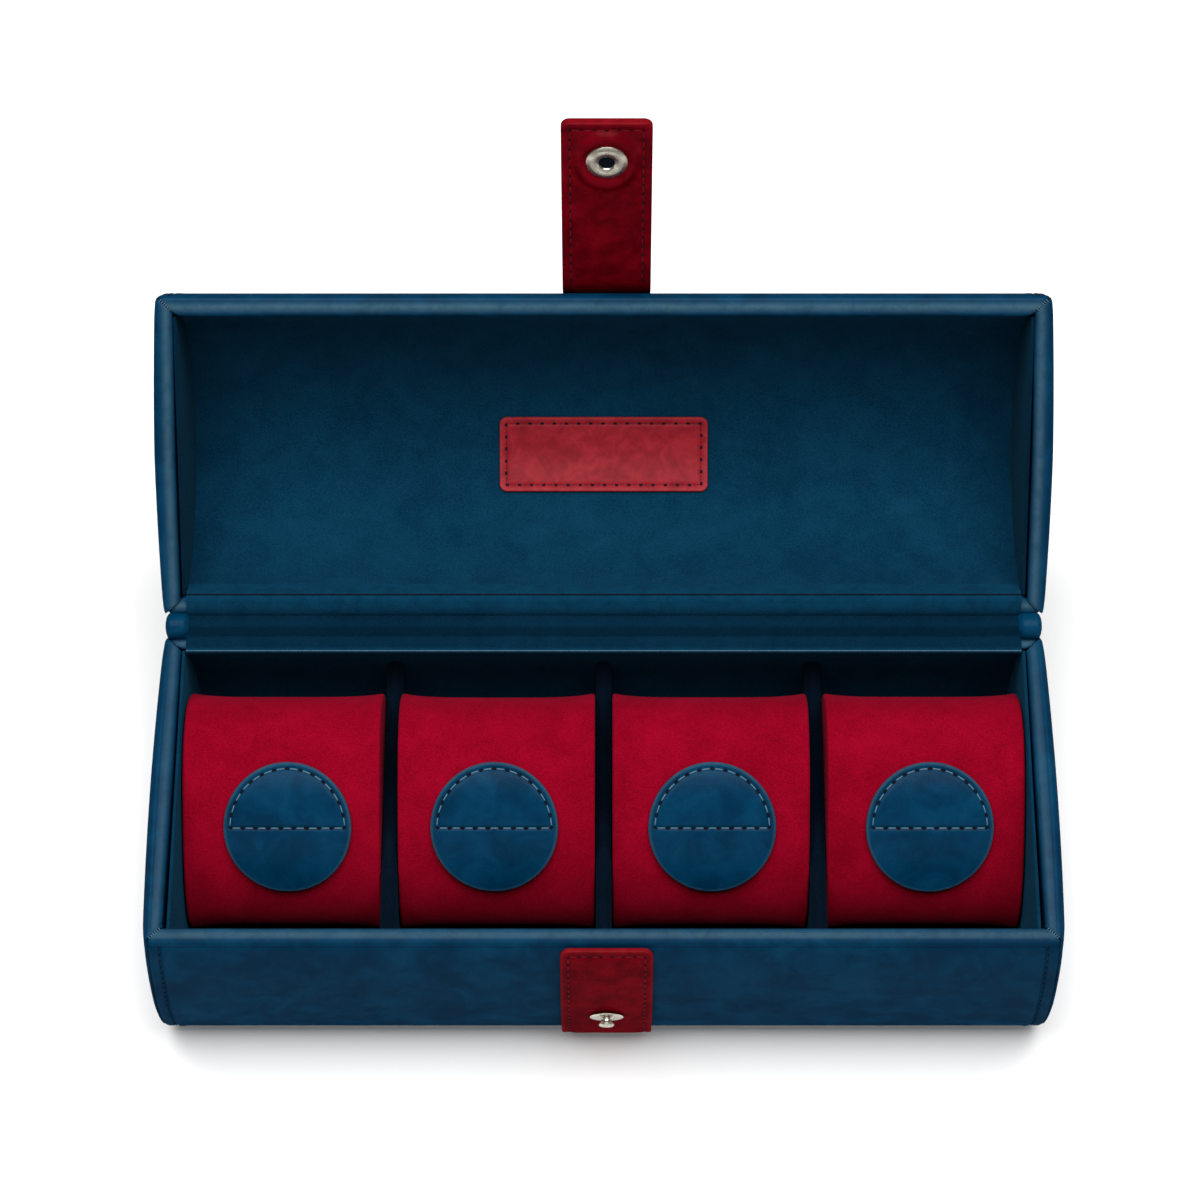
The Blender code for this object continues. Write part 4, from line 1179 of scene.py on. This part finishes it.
def threadRow(name, centres, ways, normals, long, thick, material):
    # each stitch: a bent rod, centre + way*s*long/2 + normal*(rise*(1 - s^4) - thick/2),
    # its radius thick/2 * sqrt(1 - s^8), in rings between two poles
    s, around = np.array(stitchShape["along"]), stitchShape["threadRound"]
    turn = fullTurn(around)
    side = np.cross(normals, ways)
    rise = stitchShape["rise"]
    spine = (centres[:, None] + ways[:, None] * (s * long / 2)[None, :, None]
             + normals[:, None] * (rise * (1 - s ** 4) - thick / 2)[None, :, None])
    radius = thick / 2 * np.sqrt(np.clip(1 - s ** 8, 0, 1))
    ring = (side[:, None, None] * np.cos(turn)[None, None, :, None]
            + normals[:, None, None] * np.sin(turn)[None, None, :, None])
    body = (spine[:, 1:-1, None] + ring * radius[None, 1:-1, None, None])
    count = len(centres)
    points = np.concatenate([body.reshape(count, -1, 3), spine[:, :1], spine[:, -1:]], 1)
    rings = len(s) - 2
    a, b = pairsRound(around)
    last, size = (rings - 1) * around, rings * around + 2
    caps = fan(b, a, size - 2) + fan(a + last, b + last, size - 1)
    faces = (copies(gridFaces(rings, around, aroundColumns=True), count, size)
             + copies(caps, count, size))
    return addMesh(name, points.reshape(-1, 3), faces, material, 180)


def holeRow(name, centres, ways, normals, wide, material):
    # each hole: a small dimple of three rings, coloured dark as painted shade, (share of its
    # width, height), whose points are centre + (way * longer * cos + side * sin) * share * wide/2
    # + normal * height
    side, around = np.cross(normals, ways), stitchShape["holeRound"]
    turn, stand = fullTurn(around), stitchShape["stand"]
    rings = []
    for share, up in ((1.0, -0.0002), (0.92, stand), (0.6, stand * 0.6)):
        rings.append(centres[:, None] + (ways[:, None] * np.cos(turn)[None, :, None]
                                         * stitchShape["longer"]
                                         + side[:, None] * np.sin(turn)[None, :, None])
                     * (share * wide / 2) + normals[:, None] * up)
    middle = centres[:, None] + normals[:, None] * stand * 0.5
    bottom = centres[:, None] - normals[:, None] * stitchShape["sunk"]
    count = len(centres)
    points = np.concatenate(rings + [middle, bottom], 1)
    a, b = pairsRound(around)
    last, size = (len(rings) - 1) * around, len(rings) * around + 2
    caps = fan(a + last, b + last, size - 2) + fan(b, a, size - 1)
    faces = (copies(gridFaces(len(rings), around, aroundColumns=True), count, size)
             + copies(caps, count, size))
    return addMesh(name, points.reshape(-1, 3), faces, material, 60)


def along(line, lengths, where, columns=2):
    # points of a line, or of values along it, at these lengths
    return np.column_stack([np.interp(where, lengths, line[:, k]) for k in range(columns)])


def sewn(name, line, normals, look, body, closed=False):
    # holes at even steps along a line in space, and a thread from each to the next
    total = lengthsAlong(line)
    count = max(int(round(total[-1] / look["pitch"])), 1)
    at = np.linspace(0, total[-1], count + 1)
    if closed:
        at = at[:-1]

    def sample(where, values):
        return along(values, total, where, 3)

    way = np.gradient(line, axis=0)
    holes = holeRow(name + "Holes", sample(at, line), unit(sample(at, way)),
                    unit(sample(at, normals)), look["hole"], look["holeLook"])
    between = (at + look["pitch"] / 2)[:len(at) if closed else -1]
    threads = threadRow(name + "Thread", sample(between, line), unit(sample(between, way)),
                        unit(sample(between, normals)), look["long"], look["thick"],
                        look["threadLook"])
    for piece in (holes, threads):
        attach(piece, body)
    return holes, threads


# Leather rounds on the cushions

disc = {
    "radius": 0.02, "thick": 0.0016, "shifts": (0.002, -0.0006, 0.0003, 0.0011),
    "lift": 0.0012, "edgeRound": 0.0006, "stitchIn": 0.0021, "groove": 0.0003,
    "grooveWide": 0.0007, "puff": 0.0004, "around": 216, "stretch": 1.03, "crowd": 0.36,
    "innerShare": 0.78, "innerRings": 22, "outerRings": 19, "wearAndHighlight": 0.55, "wearAndHighlightFrom": 0.0011,
    "wornFade": 0.0009, "halfSewn": 0.0006, "bendFrom": 0.0002, "bendTo": 0.0022,
    "fitX": 0.025, "fitV": 0.026, "fitDeep": 0.008, "fitEvery": 5, "fitSize": 0.02,
    "stitch": {"pitch": 0.0041, "long": 0.0027, "thick": 0.0004, "hole": 0.0013,
               "threadLook": paleThread, "holeLook": holeShade},
}
faceTurn = np.linspace(0, pi, 601)
faceLine = cushionSection(faceTurn, cushion["long"], cushion["short"], cushion["power"])
faceLength = lengthsAlong(faceLine)
faceOut = -leftNormals(faceLine)
faceMiddle = faceLength[-1] / 2


def onFace(v):
    # the face's point and outward normal, a length v below its middle
    at = v + faceMiddle
    return along(faceLine, faceLength, at), unit(along(faceOut, faceLength, at))


def powers(u, v):
    # the terms of a polynomial of degree 4 in both
    u, v = u / disc["fitSize"], v / disc["fitSize"]
    return np.stack([u ** i * v ** j for i in range(5) for j in range(5 - i)], -1)


def fittedFace(piece, middleX):
    # how far the cushion's face stands off its plain oval, as a polynomial over the face
    points = coordinates(piece.data)
    points[:, 0] -= middleX
    keep = np.abs(points[:, 0]) < disc["fitX"]
    keep &= ((points[:, 1:] - cushionMiddle) @ shortWay) > disc["fitDeep"]
    points = points[keep][::disc["fitEvery"]]
    near = np.concatenate([((part[:, None, 1:] - faceLine[None]) ** 2).sum(2).argmin(1)
                           for part in np.array_split(points, 12)])
    v = faceLength[near] - faceMiddle
    stand = ((points[:, 1:] - faceLine[near]) * faceOut[near]).sum(1)
    keep = np.abs(v) < disc["fitV"]
    terms = powers(points[keep, 0], v[keep])
    return np.linalg.lstsq(terms, stand[keep], rcond=None)[0]


def discPlace(u, v, height, shape, middleX):
    # from the disc's own (across, down, height) to its place on the face
    flat, up = onFace(v)
    stand = powers(u, v) @ shape
    lift = disc["lift"] * limited(v / disc["radius"]) ** 2
    yz = flat + up * (stand + seat + lift + height)[:, None]
    return np.column_stack([u + middleX, yz]), np.column_stack([np.zeros(len(u)), up])


def discDip(u, v):
    # the sewn groove: along the arc of the upper half, and straight across the middle
    r = disc["radius"] - disc["stitchIn"]
    rho = np.hypot(u, v / disc["stretch"])
    w = disc["grooveWide"]
    arc = bell(rho - r, w) * limited((disc["halfSewn"] - v) / disc["halfSewn"])
    across = bell(v, w) * limited((r + w - np.abs(u)) / w)
    return disc["groove"] * np.maximum(arc, across)


def makeDisc(number):
    # a profile of (radius, height) turned once about the middle, laid on the cushion's face:
    # u = radius * cos, v = radius * sin * stretch, closer together near the straight seam
    middleX = cushionX(number)
    shape = fittedFace(cushions[number], middleX)
    middleX += disc["shifts"][number - 1]
    r, thick, e = disc["radius"], disc["thick"], disc["edgeRound"]
    steps = np.concatenate([np.linspace(0, disc["innerShare"], disc["innerRings"])[1:],
                            np.linspace(disc["innerShare"], 1, disc["outerRings"])[1:]])
    top = np.column_stack([steps * (r - e), np.full(len(steps), thick)])
    down = eased(top[-1], np.array([r, thick]), np.array([r, thick - e]), 5)
    side = np.array([[r, thick - e], [r, e * 0.6], [r - e * 0.2, e * 0.2], [r - e * 0.6, 0.0]])
    below = np.column_stack([np.linspace(r - e * 0.6, 0, 12)[1:-1], np.zeros(10)])
    profile = np.vstack([top, down, side, below])
    t = fullTurn(disc["around"])
    turn = t - disc["crowd"] * np.sin(2 * t)
    u = profile[:, 0][:, None] * np.cos(turn)
    v = profile[:, 0][:, None] * np.sin(turn) * disc["stretch"]
    onTop = (np.arange(len(profile)) < len(steps) + 2)[:, None]
    height = (profile[:, 1][:, None] - onTop * discDip(u, v)
              + onTop * disc["puff"] * (1 - (np.hypot(u, v / disc["stretch"]) / r) ** 4))
    points = discPlace(u.ravel(), v.ravel(), height.ravel(), shape, middleX)[0]
    poles = discPlace(np.zeros(2), np.zeros(2),
                      np.array([thick + disc["puff"] - disc["groove"], 0.0]), shape, middleX)[0]
    points = np.vstack([points, poles])
    around = disc["around"]
    faces = gridFaces(len(profile), around, aroundColumns=True)
    a, b = pairsRound(around)
    last = (len(profile) - 1) * around
    faces += fan(a, b, len(points) - 2) + fan(b + last, a + last, len(points) - 1)
    rho = np.concatenate([np.repeat(profile[:, 0], around), [0, 0]])
    wearAndHighlight = limited((rho - (r - disc["wearAndHighlightFrom"])) / disc["wornFade"]) * disc["wearAndHighlight"]
    piece = addMesh("disc%d" % number, points, faces, blueLeather, 50,
                    attributes={"edge": wearAndHighlight})
    cushionBody, flapBody = "cushion_%d" % number, "flap_%d" % number
    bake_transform(piece)
    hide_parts("disc_sewn_%d" % number, "disc_loose_%d" % number)
    inner = r - disc["stitchIn"]
    arc = np.linspace(pi, 2 * pi, 90)
    lines = (("discArc", inner * np.cos(arc), inner * np.sin(arc) * disc["stretch"]),
             ("discAcross", np.linspace(-inner, inner, 60), np.zeros(60)))
    for label, uu, vv in lines:
        rho = np.hypot(uu, vv / disc["stretch"])
        high = thick + disc["puff"] * (1 - (rho / r) ** 4) - discDip(uu, vv)
        line, normals = discPlace(uu, vv, high, shape, middleX)
        sewn("%s%d" % (label, number), line, normals, disc["stitch"], cushionBody)


for number in (1, 2, 3, 4):
    makeDisc(number)
print("leather rounds made")

# Flat leather pieces with rounded corners, laid along a line: strap, front tab and patch


def roundedGap(a, b, halfWide, long, corner, open0, open1):
    # the distance in from the edge of a rounded rectangle; an open end has no edge
    low = -1.0 if open0 else 0.0
    high = long + 1.0 if open1 else long
    middle, half = (low + high) / 2, (high - low) / 2
    qa = np.abs(a) - (halfWide - corner)
    qb = np.abs(b - middle) - (half - corner)
    outside = np.hypot(np.maximum(qa, 0), np.maximum(qb, 0))
    return corner - outside - np.minimum(np.maximum(qa, qb), 0)


flatShape = {"close": (0, 0.08, 0.18, 0.32, 0.5, 0.75, 1.1, 1.5, 1.9, 2.2, 2.5, 2.8, 3.1, 3.4,
                       3.8, 4.3, 5.0),
             "wide": 0.0007, "puffFade": 0.003, "underRound": 0.6, "wornPower": 1.5}


def edgeSteps(length, near0, near1):
    # places along a length, close together near the ends that have an edge. The close ones
    # are set in millimetres.
    close = np.array(flatShape["close"]) / 1000
    start = close if near0 else np.array([0.0])
    finish = close if near1 else np.array([0.0])
    count = max(int((length - start[-1] - finish[-1]) / flatShape["wide"]), 4)
    middle = np.linspace(start[-1], length - finish[-1], count + 1)[1:-1]
    return np.concatenate([start, middle, length - finish[::-1]])


def flatPiece(name, look, place, material, extra=None):
    # top: height = thick - roundDrop(gap from the edge) - a bell-shaped sewn groove at a set
    # way in + a puff inside it; the bottom is flat but for a smaller rounding of the same
    # shape, and side faces join the two
    long, halfWide, corner = look["long"], look["halfWide"], look["corner"]
    open0, open1 = look["open"]
    b = edgeSteps(long, not open0, not open1)
    across = edgeSteps(2 * halfWide, True, True) - halfWide
    wide = np.full(len(b), halfWide)
    for isOpen, fromEnd in ((open0, b), (open1, long - b)):
        if not isOpen:
            wide = wide - roundDrop(fromEnd, corner)
    a = across[None] * (wide / halfWide)[:, None]
    bb = np.broadcast_to(b[:, None], a.shape)
    gap = np.clip(roundedGap(a, bb, halfWide, long, corner, open0, open1), 0, None)
    drop = roundDrop(gap, look["edgeRound"])
    groove = look["groove"] * bell(gap - look["stitchIn"], look["grooveWide"])
    puff = look["puff"] * limited((gap - look["stitchIn"]) / flatShape["puffFade"]) ** 0.5
    top = look["thick"] - drop - groove + puff
    if extra:
        top = top + extra(a, bb)
    bottom = drop * flatShape["underRound"]
    low = place(a.ravel(), bb.ravel(), bottom.ravel())
    high = place(a.ravel(), bb.ravel(), top.ravel())
    rows, columns = a.shape
    faces = gridFaces(rows, columns) + gridFaces(rows, columns, start=rows * columns)
    index = np.arange(rows * columns).reshape(rows, columns)
    loop = np.concatenate([index[0], index[1:, -1], index[-1, -2::-1], index[-2:0:-1, 0]])
    nextOne = np.roll(loop, -1)
    up = rows * columns
    faces += np.column_stack([loop, nextOne, nextOne + up, loop + up]).tolist()
    wearAndHighlight = limited(1 - gap / look["wearAndHighlightWide"]) ** flatShape["wornPower"] * look["wearAndHighlight"]
    return addMesh(name, np.vstack([low, high]), faces, material, 55,
                   attributes={"edge": np.tile(wearAndHighlight.ravel(), 2)})


def stitchPath(look):
    # a line a set way in from the edge, round the corners; it stops at an open end
    inset = look["stitchIn"]
    w, long = look["halfWide"] - inset, look["long"]
    r = max(look["corner"] - inset, 0.0004)
    open0, open1 = look["open"]
    first = look["stitchFrom"] if open0 else inset
    last = look["long"] if open1 else long - inset
    quarter = np.linspace(0, pi / 2, 8)

    def corner(side, end, turn):
        # a quarter turn about the middle of the corner circle
        middle = (side * (w - r), last - r if end else first + r)
        return np.column_stack([middle[0] + side * r * np.cos(turn),
                                middle[1] + (1 if end else -1) * r * np.sin(turn)])

    sides = np.linspace(first + r, last - r, 40)
    across = np.linspace(-w + r, w - r, 30)
    parts = [np.column_stack([np.full(40, -w), sides])]
    if not open1:
        parts += [corner(-1, True, quarter), np.column_stack([across, np.full(30, last)]),
                  corner(1, True, quarter[::-1])]
    parts.append(np.column_stack([np.full(40, w), sides[::-1]]))
    if not open0:
        low = [corner(1, False, quarter), np.column_stack([across[::-1], np.full(30, first)]),
               corner(-1, False, quarter[::-1])]
        parts = [parts[-1]] + low + [parts[0]] if open1 else parts + low
    line = np.vstack(parts)
    keep = np.concatenate([[True], np.linalg.norm(np.diff(line, axis=0), axis=1) > 1e-6])
    return line[keep]


def sewPiece(name, look, place, body, closed=False, extra=None):
    # stitches a flat piece along its own path, in its groove
    path = stitchPath(look)
    a, b = path[:, 0], path[:, 1]
    high = np.full(len(a), look["thick"] - look["groove"])
    if extra:
        high = high + extra(a, b)
    line = place(a, b, high)
    normals = place(a, b, high + 0.001) - line
    return sewn(name, line, normals, look["stitch"], body, closed)


snapX = 0.0009
tab = {
    "halfWide": 0.0142, "corner": 0.003, "thick": 0.0018, "open": (False, True),
    "edgeRound": 0.0005, "stitchIn": 0.0024, "groove": 0.0002, "grooveWide": 0.0006,
    "puff": 0.0002, "wearAndHighlight": 0.6, "wearAndHighlightWide": 0.0014, "topDrop": 0.0022, "bottomZ": 0.0062,
    "stitch": {"pitch": 0.0034, "long": 0.0023, "thick": 0.00032, "hole": 0.00085,
               "threadLook": redThread, "holeLook": holeShade},
}
frontLine = baseLine[:len(baseLine) // 2]
tabTop = case["baseHeight"] - tab["topDrop"]
keep = (frontLine[:, 1] < tabTop) & (frontLine[:, 1] > tab["bottomZ"])
frontLine = np.vstack([onWall(baseLine, [tabTop]), frontLine[keep]])
frontLine = evenly(frontLine, 400)
frontLength = lengthsAlong(frontLine)
tab["long"] = frontLength[-1]


def tabPlace(a, b, height):
    # b runs down the front of the case, height stands off its leather
    flat = along(frontLine, frontLength, b)
    out = -along(leftNormals(frontLine), frontLength, b)
    return np.column_stack([a + snapX, flat + out * (seat + height)[:, None]])


piece = flatPiece("frontTab", tab, tabPlace, redLeather)
dress(piece, "base", "red_leather", "front_tab")
sewPiece("tabSeam", tab, tabPlace, "base")

patch = {
    "long": 0.025, "halfWide": 0.0338, "corner": 0.0025, "thick": 0.0012,
    "open": (False, False), "edgeRound": 0.0004, "stitchIn": 0.0022, "groove": 0.0002,
    "grooveWide": 0.0006, "puff": 0.0002, "wearAndHighlight": 0.7, "wearAndHighlightWide": 0.0014, "fromFront": 0.0619,
    "stitch": {"pitch": 0.0039, "long": 0.0026, "thick": 0.0003, "hole": 0.0012,
               "threadLook": redThread, "holeLook": holeShade},
}
patchLine = shifted(lidLine, walls["lid"]["far"])
patchLength = lengthsAlong(patchLine)
patchMiddle = np.interp(patch["fromFront"] - rimDepth, patchLine[:, 0], patchLength)


def patchPlace(a, b, height):
    # b runs down the inside of the lid, height stands off its lining
    where = patchMiddle - patch["long"] / 2 + b
    flat = along(patchLine, patchLength, where)
    into = along(leftNormals(patchLine), patchLength, where)
    return lidPlace(np.column_stack([a, flat + into * (seat + height)[:, None]]))


piece = flatPiece("labelPatch", patch, patchPlace, patchLeather)
dress(piece, "lid", "red_leather", "label_patch")
sewPiece("patchSeam", patch, patchPlace, "lid", closed=True)

strap = {
    "halfWide": 0.01375, "corner": 0.0026, "thick": 0.0029,
    "open": (False, False), "edgeRound": 0.0006, "stitchIn": 0.0027, "groove": 0.0003,
    "grooveWide": 0.0006, "puff": 0.0002, "wearAndHighlight": 0.3, "wearAndHighlightWide": 0.0005,
    "start": 0.013, "anchor": 0.034, "swing": 0.0706, "turnFrom": 0.0042, "lean": 77.0,
    "bend": (0.141295, 0.139615), "blendShare": 0.6, "runCount": 120, "turnCount": 30,
    "snapFromBend": 0.056, "bump": (0.0106, 0.0128), "bumpHigh": 0.0019, "bumpFade": 0.24,
    "seatRadius": 0.0068,
    "stitch": {"pitch": 0.0037, "long": 0.0024, "thick": 0.0003, "hole": 0.001,
               "threadLook": redThread, "holeLook": holeShade},
}
bendAt = np.array(strap["bend"])
standWay = np.array((cos(radians(strap["lean"])), sin(radians(strap["lean"]))))
anchorLine = lidLine - leftNormals(lidLine) * (seat + strap["thick"] / 2)
lidLength = lengthsAlong(lidLine)
anchorRun = along(anchorLine, lidLength,
                  np.linspace(strap["start"] + strap["anchor"], strap["start"],
                              strap["runCount"]))
anchorRun = lidLinePlace(anchorRun)
anchorRun = anchorRun[np.linalg.norm(anchorRun - bendAt, axis=1) > strap["turnFrom"]]
standRun = bendAt + standWay * np.linspace(strap["turnFrom"], strap["swing"],
                                           strap["runCount"])[:, None]
strapLine = np.vstack([anchorRun,
                       eased(anchorRun[-1], bendAt, standRun[0], strap["turnCount"]), standRun])
strapLine = evenly(strapLine, 700)
strapLength = lengthsAlong(strapLine)
strap["long"] = strapLength[-1]
snapB = strap["long"] - (strap["swing"] - strap["snapFromBend"])


def strapPlace(a, b, height):
    # the strap's middle runs up the lid's outside, round the bend, and stands up
    flat = along(strapLine, strapLength, b)
    out = along(leftNormals(strapLine), strapLength, b)
    return np.column_stack([a + snapX, flat + out * (height - strap["thick"] / 2)[:, None]])


def strapBump(a, b):
    # a soft ring of leather pushed up round the socket, high * (3t^2 - 2t^3) with t the way
    # in from its edge, and a flat seat in the middle
    rho = np.hypot(a / strap["bump"][0], (b - snapB) / strap["bump"][1])
    t = limited((1 - rho) / strap["bumpFade"])
    dent = np.exp(-(np.hypot(a, b - snapB) / strap["seatRadius"]) ** 8)
    return strap["bumpHigh"] * t * t * (3 - 2 * t) * (1 - dent)


piece = flatPiece("snapStrap", strap, strapPlace, redLeather, strapBump)
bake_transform(piece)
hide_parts("strap_anchor", "strap_outer", "strap_lining")
swingOnly = dict(strap, open=(True, False),
                 stitchFrom=strap["long"] - strap["swing"] + strap["turnFrom"])
sewPiece("strapSeam", swingOnly, strapPlace, "strap", extra=strapBump)
print("strap, tab and patch made")

# Snap


def turnedPiece(name, profile, centre, axis, body, *nodes, around=64, look=snapMetal):
    # a closed profile of (radius, height) turned about an axis through the centre
    axis = np.asarray(axis, float) / np.linalg.norm(axis)
    side = np.array((1.0, 0.0, 0.0))
    other = np.cross(axis, side)
    turn = fullTurn(around)
    ring = side * np.cos(turn)[:, None] + other * np.sin(turn)[:, None]
    points = (np.asarray(centre) + profile[:, 1][:, None, None] * axis
              + ring[None] * profile[:, 0][:, None, None])
    faces = gridFaces(len(profile), around, aroundRows=True, aroundColumns=True)
    piece = addMesh(name, points.reshape(-1, 3), faces, look, 45)
    return dress(piece, body, "snap_metal", *nodes)


def softened(profile, steps=5, share=0.3):
    # the profile, given in millimetres, with each of its corners cut round
    profile = np.array(profile) / 1000
    before, after = np.roll(profile, 1, 0), np.roll(profile, -1, 0)
    t = np.linspace(0, 1, steps)[None, :, None]
    a = profile + (before - profile) * share
    c = profile + (after - profile) * share
    return ((1 - t) ** 2 * a[:, None] + 2 * t * (1 - t) * profile[:, None]
            + t ** 2 * c[:, None]).reshape(-1, 2)


snap = {
    "studLean": 8.0, "studDown": 0.0402,
    "socket": ((6.7, 0.0), (6.7, 0.5), (6.2, 1.1), (5.0, 1.5), (3.8, 1.5), (2.6, 1.25), (2.3, 0.7),
               (2.5, 0.3), (2.5, 0.0)),
    "hollow": ((2.9, 0.0), (2.9, 0.42), (0.02, 0.42), (0.02, 0.0)),
    "cap": ((6.3, 0.0), (6.3, 0.63), (5.36, 1.35), (3.15, 1.71), (0.02, 1.8), (0.02, 0.0)),
    "flange": ((0.02, -1.2), (1.9, -1.2), (1.9, 0.3), (4.6, 0.3), (5.3, 0.42), (5.25, 0.6),
               (4.2, 0.85), (2.2, 0.9), (1.7, 1.2), (1.6, 2.1), (2.0, 2.4), (2.5, 2.8),
               (2.2, 3.4), (0.8, 3.6), (0.02, 3.6)),
}
strapOut = np.array((0.0, -standWay[1], standWay[0]))
socketSeat = np.array((snapX, *(bendAt + standWay * strap["snapFromBend"])))
offStrap = strapOut * (strap["thick"] / 2 + seat)
turnedPiece("snapSocket", softened(snap["socket"]), socketSeat + offStrap, strapOut, "strap",
            "snap_socket")
# a dark disc deep in the socket's hole: painted shade
turnedPiece("snapHollow", np.array(snap["hollow"]) / 1000, socketSeat + offStrap, strapOut,
            "strap", look=holeShade)
turnedPiece("snapCap", softened(snap["cap"]), socketSeat - offStrap, -strapOut, "strap",
            "snap_cap")
studZ = case["baseHeight"] - snap["studDown"]
studB = np.interp(-studZ, -frontLine[:, 1], frontLength)[None]
studOut = -along(leftNormals(frontLine), frontLength, studB)[0]
studAt = along(frontLine, frontLength, studB)[0] + studOut * (seat + tab["thick"])
lean = radians(snap["studLean"])
studOut = np.array((studOut[0] * cos(lean) - studOut[1] * sin(lean),
                    studOut[0] * sin(lean) + studOut[1] * cos(lean)))
turnedPiece("snapStud", softened(snap["flange"]), (snapX, *studAt), (0.0, *studOut), "base",
            "snap_stud")
print("snap made")

# Seams of the outer leather, a little way in from each end


seamStitch = {"pitch": 0.0032, "long": 0.0022, "thick": 0.0004, "hole": 0.001,
              "threadLook": blueThread, "holeLook": holeShade, "below": 0.0012,
              "stand": 0.00012, "count": 500}
mitre = {"from": 0.0012, "to": 0.004, "count": 6, "rise": -0.0001, "long": 0.0011,
         "thick": 0.00022}


def makeSeam(word, side):
    # stitches along the bottom of the groove round the cover, a set way in from its end
    wall = walls[word]
    top = wall["rim"] - rimShape["outEase"] - seamStitch["below"]
    line = under(wall["line"], top, top - case["rebate"], seamStitch["count"])
    into = leftNormals(line)
    deep = seamShape["deep"] * wall["seamDeep"] * seamFade(line[:, 1])
    bottom = line + into * (deep - seamStitch["stand"])[:, None]
    x = np.full(len(line), side * (halfLength - seamShape["from"]))
    flat = placedAs(word)(flared(word, np.column_stack([x, bottom])))
    out = placedAs(word)(flared(word, np.column_stack([x, bottom - into * 0.001]))) - flat
    sewn("%sSeam%s" % (word, hands[side]), flat, out, seamStitch, word)


def makeMitreStitches(word, side):
    # small stitches across the seam where the front rim meets an end rim
    m = mitre
    share = np.linspace(m["from"], m["to"], m["count"])[:, None]
    outer = np.array((side * halfLength, -rimDepth, walls[word]["rim"] + m["rise"]))
    middle = outer + share * np.array((-side, 1.0, 0.0))
    flat = placedAs(word)(flared(word, middle))
    way = placedAs(word)(flared(word, middle + np.array((side, 1.0, 0.0)) * 0.001)) - flat
    up = placedAs(word)(flared(word, middle + np.array((0.0, 0.0, 0.001)))) - flat
    piece = threadRow("%sMitre%s" % (word, hands[side]), flat, unit(way), unit(up), m["long"],
                      m["thick"], paleThread)
    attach(piece, word)


for word in ("base", "lid"):
    for side in (-1, 1):
        makeSeam(word, side)
        makeMitreStitches(word, side)
for name in ("base_board", "lid_board"):
    node = frame["nodes"][name]
    node.data.materials.clear()
    node.data.materials.append(boardDark)
print("seams made")


# Floor, light and camera


floor = {"half": 3.0, "dark": (0.86, 0.86, 0.86, 1), "light": (0.88, 0.88, 0.88, 1),
         "rough": 0.6, "noiseScale": 3.0, "noiseDetail": 2.0}


def makeFloor():
    # a wide square sheet under the case
    w = floor["half"]
    points = [(-w, -w, 0), (w, -w, 0), (w, w, 0), (-w, w, 0)]
    made, tree, shader, where = newMaterial("floorPaper", {"Roughness": floor["rough"]})
    share = noise(tree, where, floor["noiseScale"], floor["noiseDetail"])
    tree.links.new(mixed(tree, share, floor["dark"], floor["light"]),
                   shader.inputs["Base Color"])
    piece = addMesh("floorSheet", points, [(0, 1, 2, 3)], made)


def addLight(name, size, power, place):
    # a soft rectangle that points at the middle of the floor
    light = bpy.data.lights.new(name, "AREA")
    light.shape = "RECTANGLE"
    light.size, light.size_y = size
    light.energy = power
    made = bpy.data.objects.new(name, light)
    made.location = place
    made.rotation_euler = (-Vector(place)).to_track_quat("-Z", "Y").to_euler()
    bpy.context.scene.collection.objects.link(made)


makeFloor()
addLight("softTop", (1.6, 1.2), 42.0, (0.0, 0.1, 1.5))
addLight("softFront", (1.8, 0.8), 5.0, (0.0, -1.5, 1.0))
room = {"colour": (1, 1, 1, 1), "strength": 0.24}
world = bpy.data.worlds.new("paleRoom")
world.use_nodes = True
background = world.node_tree.nodes["Background"].inputs
background["Color"].default_value = room["colour"]
background["Strength"].default_value = room["strength"]
bpy.context.scene.world = world
bpy.context.scene.view_settings.view_transform = "Standard"

shot = {"lens": 108.0, "pitch": 63.5, "distance": 1.142, "shiftUp": 0.00838,
        "shiftX": -0.0031, "sensor": 36.0, "clipStart": 0.05, "axis": (0.0, 0.0548, 0.076)}
pitchTurn = radians(shot["pitch"])
viewWay = Vector((0.0, cos(pitchTurn), -sin(pitchTurn)))
upWay = Vector((0.0, sin(pitchTurn), cos(pitchTurn)))
camera = bpy.data.cameras.new("camera")
camera.lens = shot["lens"]
camera.sensor_width = shot["sensor"]
camera.shift_x = shot["shiftX"]
camera.clip_start = shot["clipStart"]
cameraObject = bpy.data.objects.new("camera", camera)
cameraObject.location = Vector(shot["axis"]) - viewWay * shot["distance"] + upWay * shot["shiftUp"]
cameraObject.rotation_euler = (pi / 2 - pitchTurn, 0.0, 0.0)
bpy.context.scene.collection.objects.link(cameraObject)
bpy.context.scene.camera = cameraObject
print("floor, light and camera made")
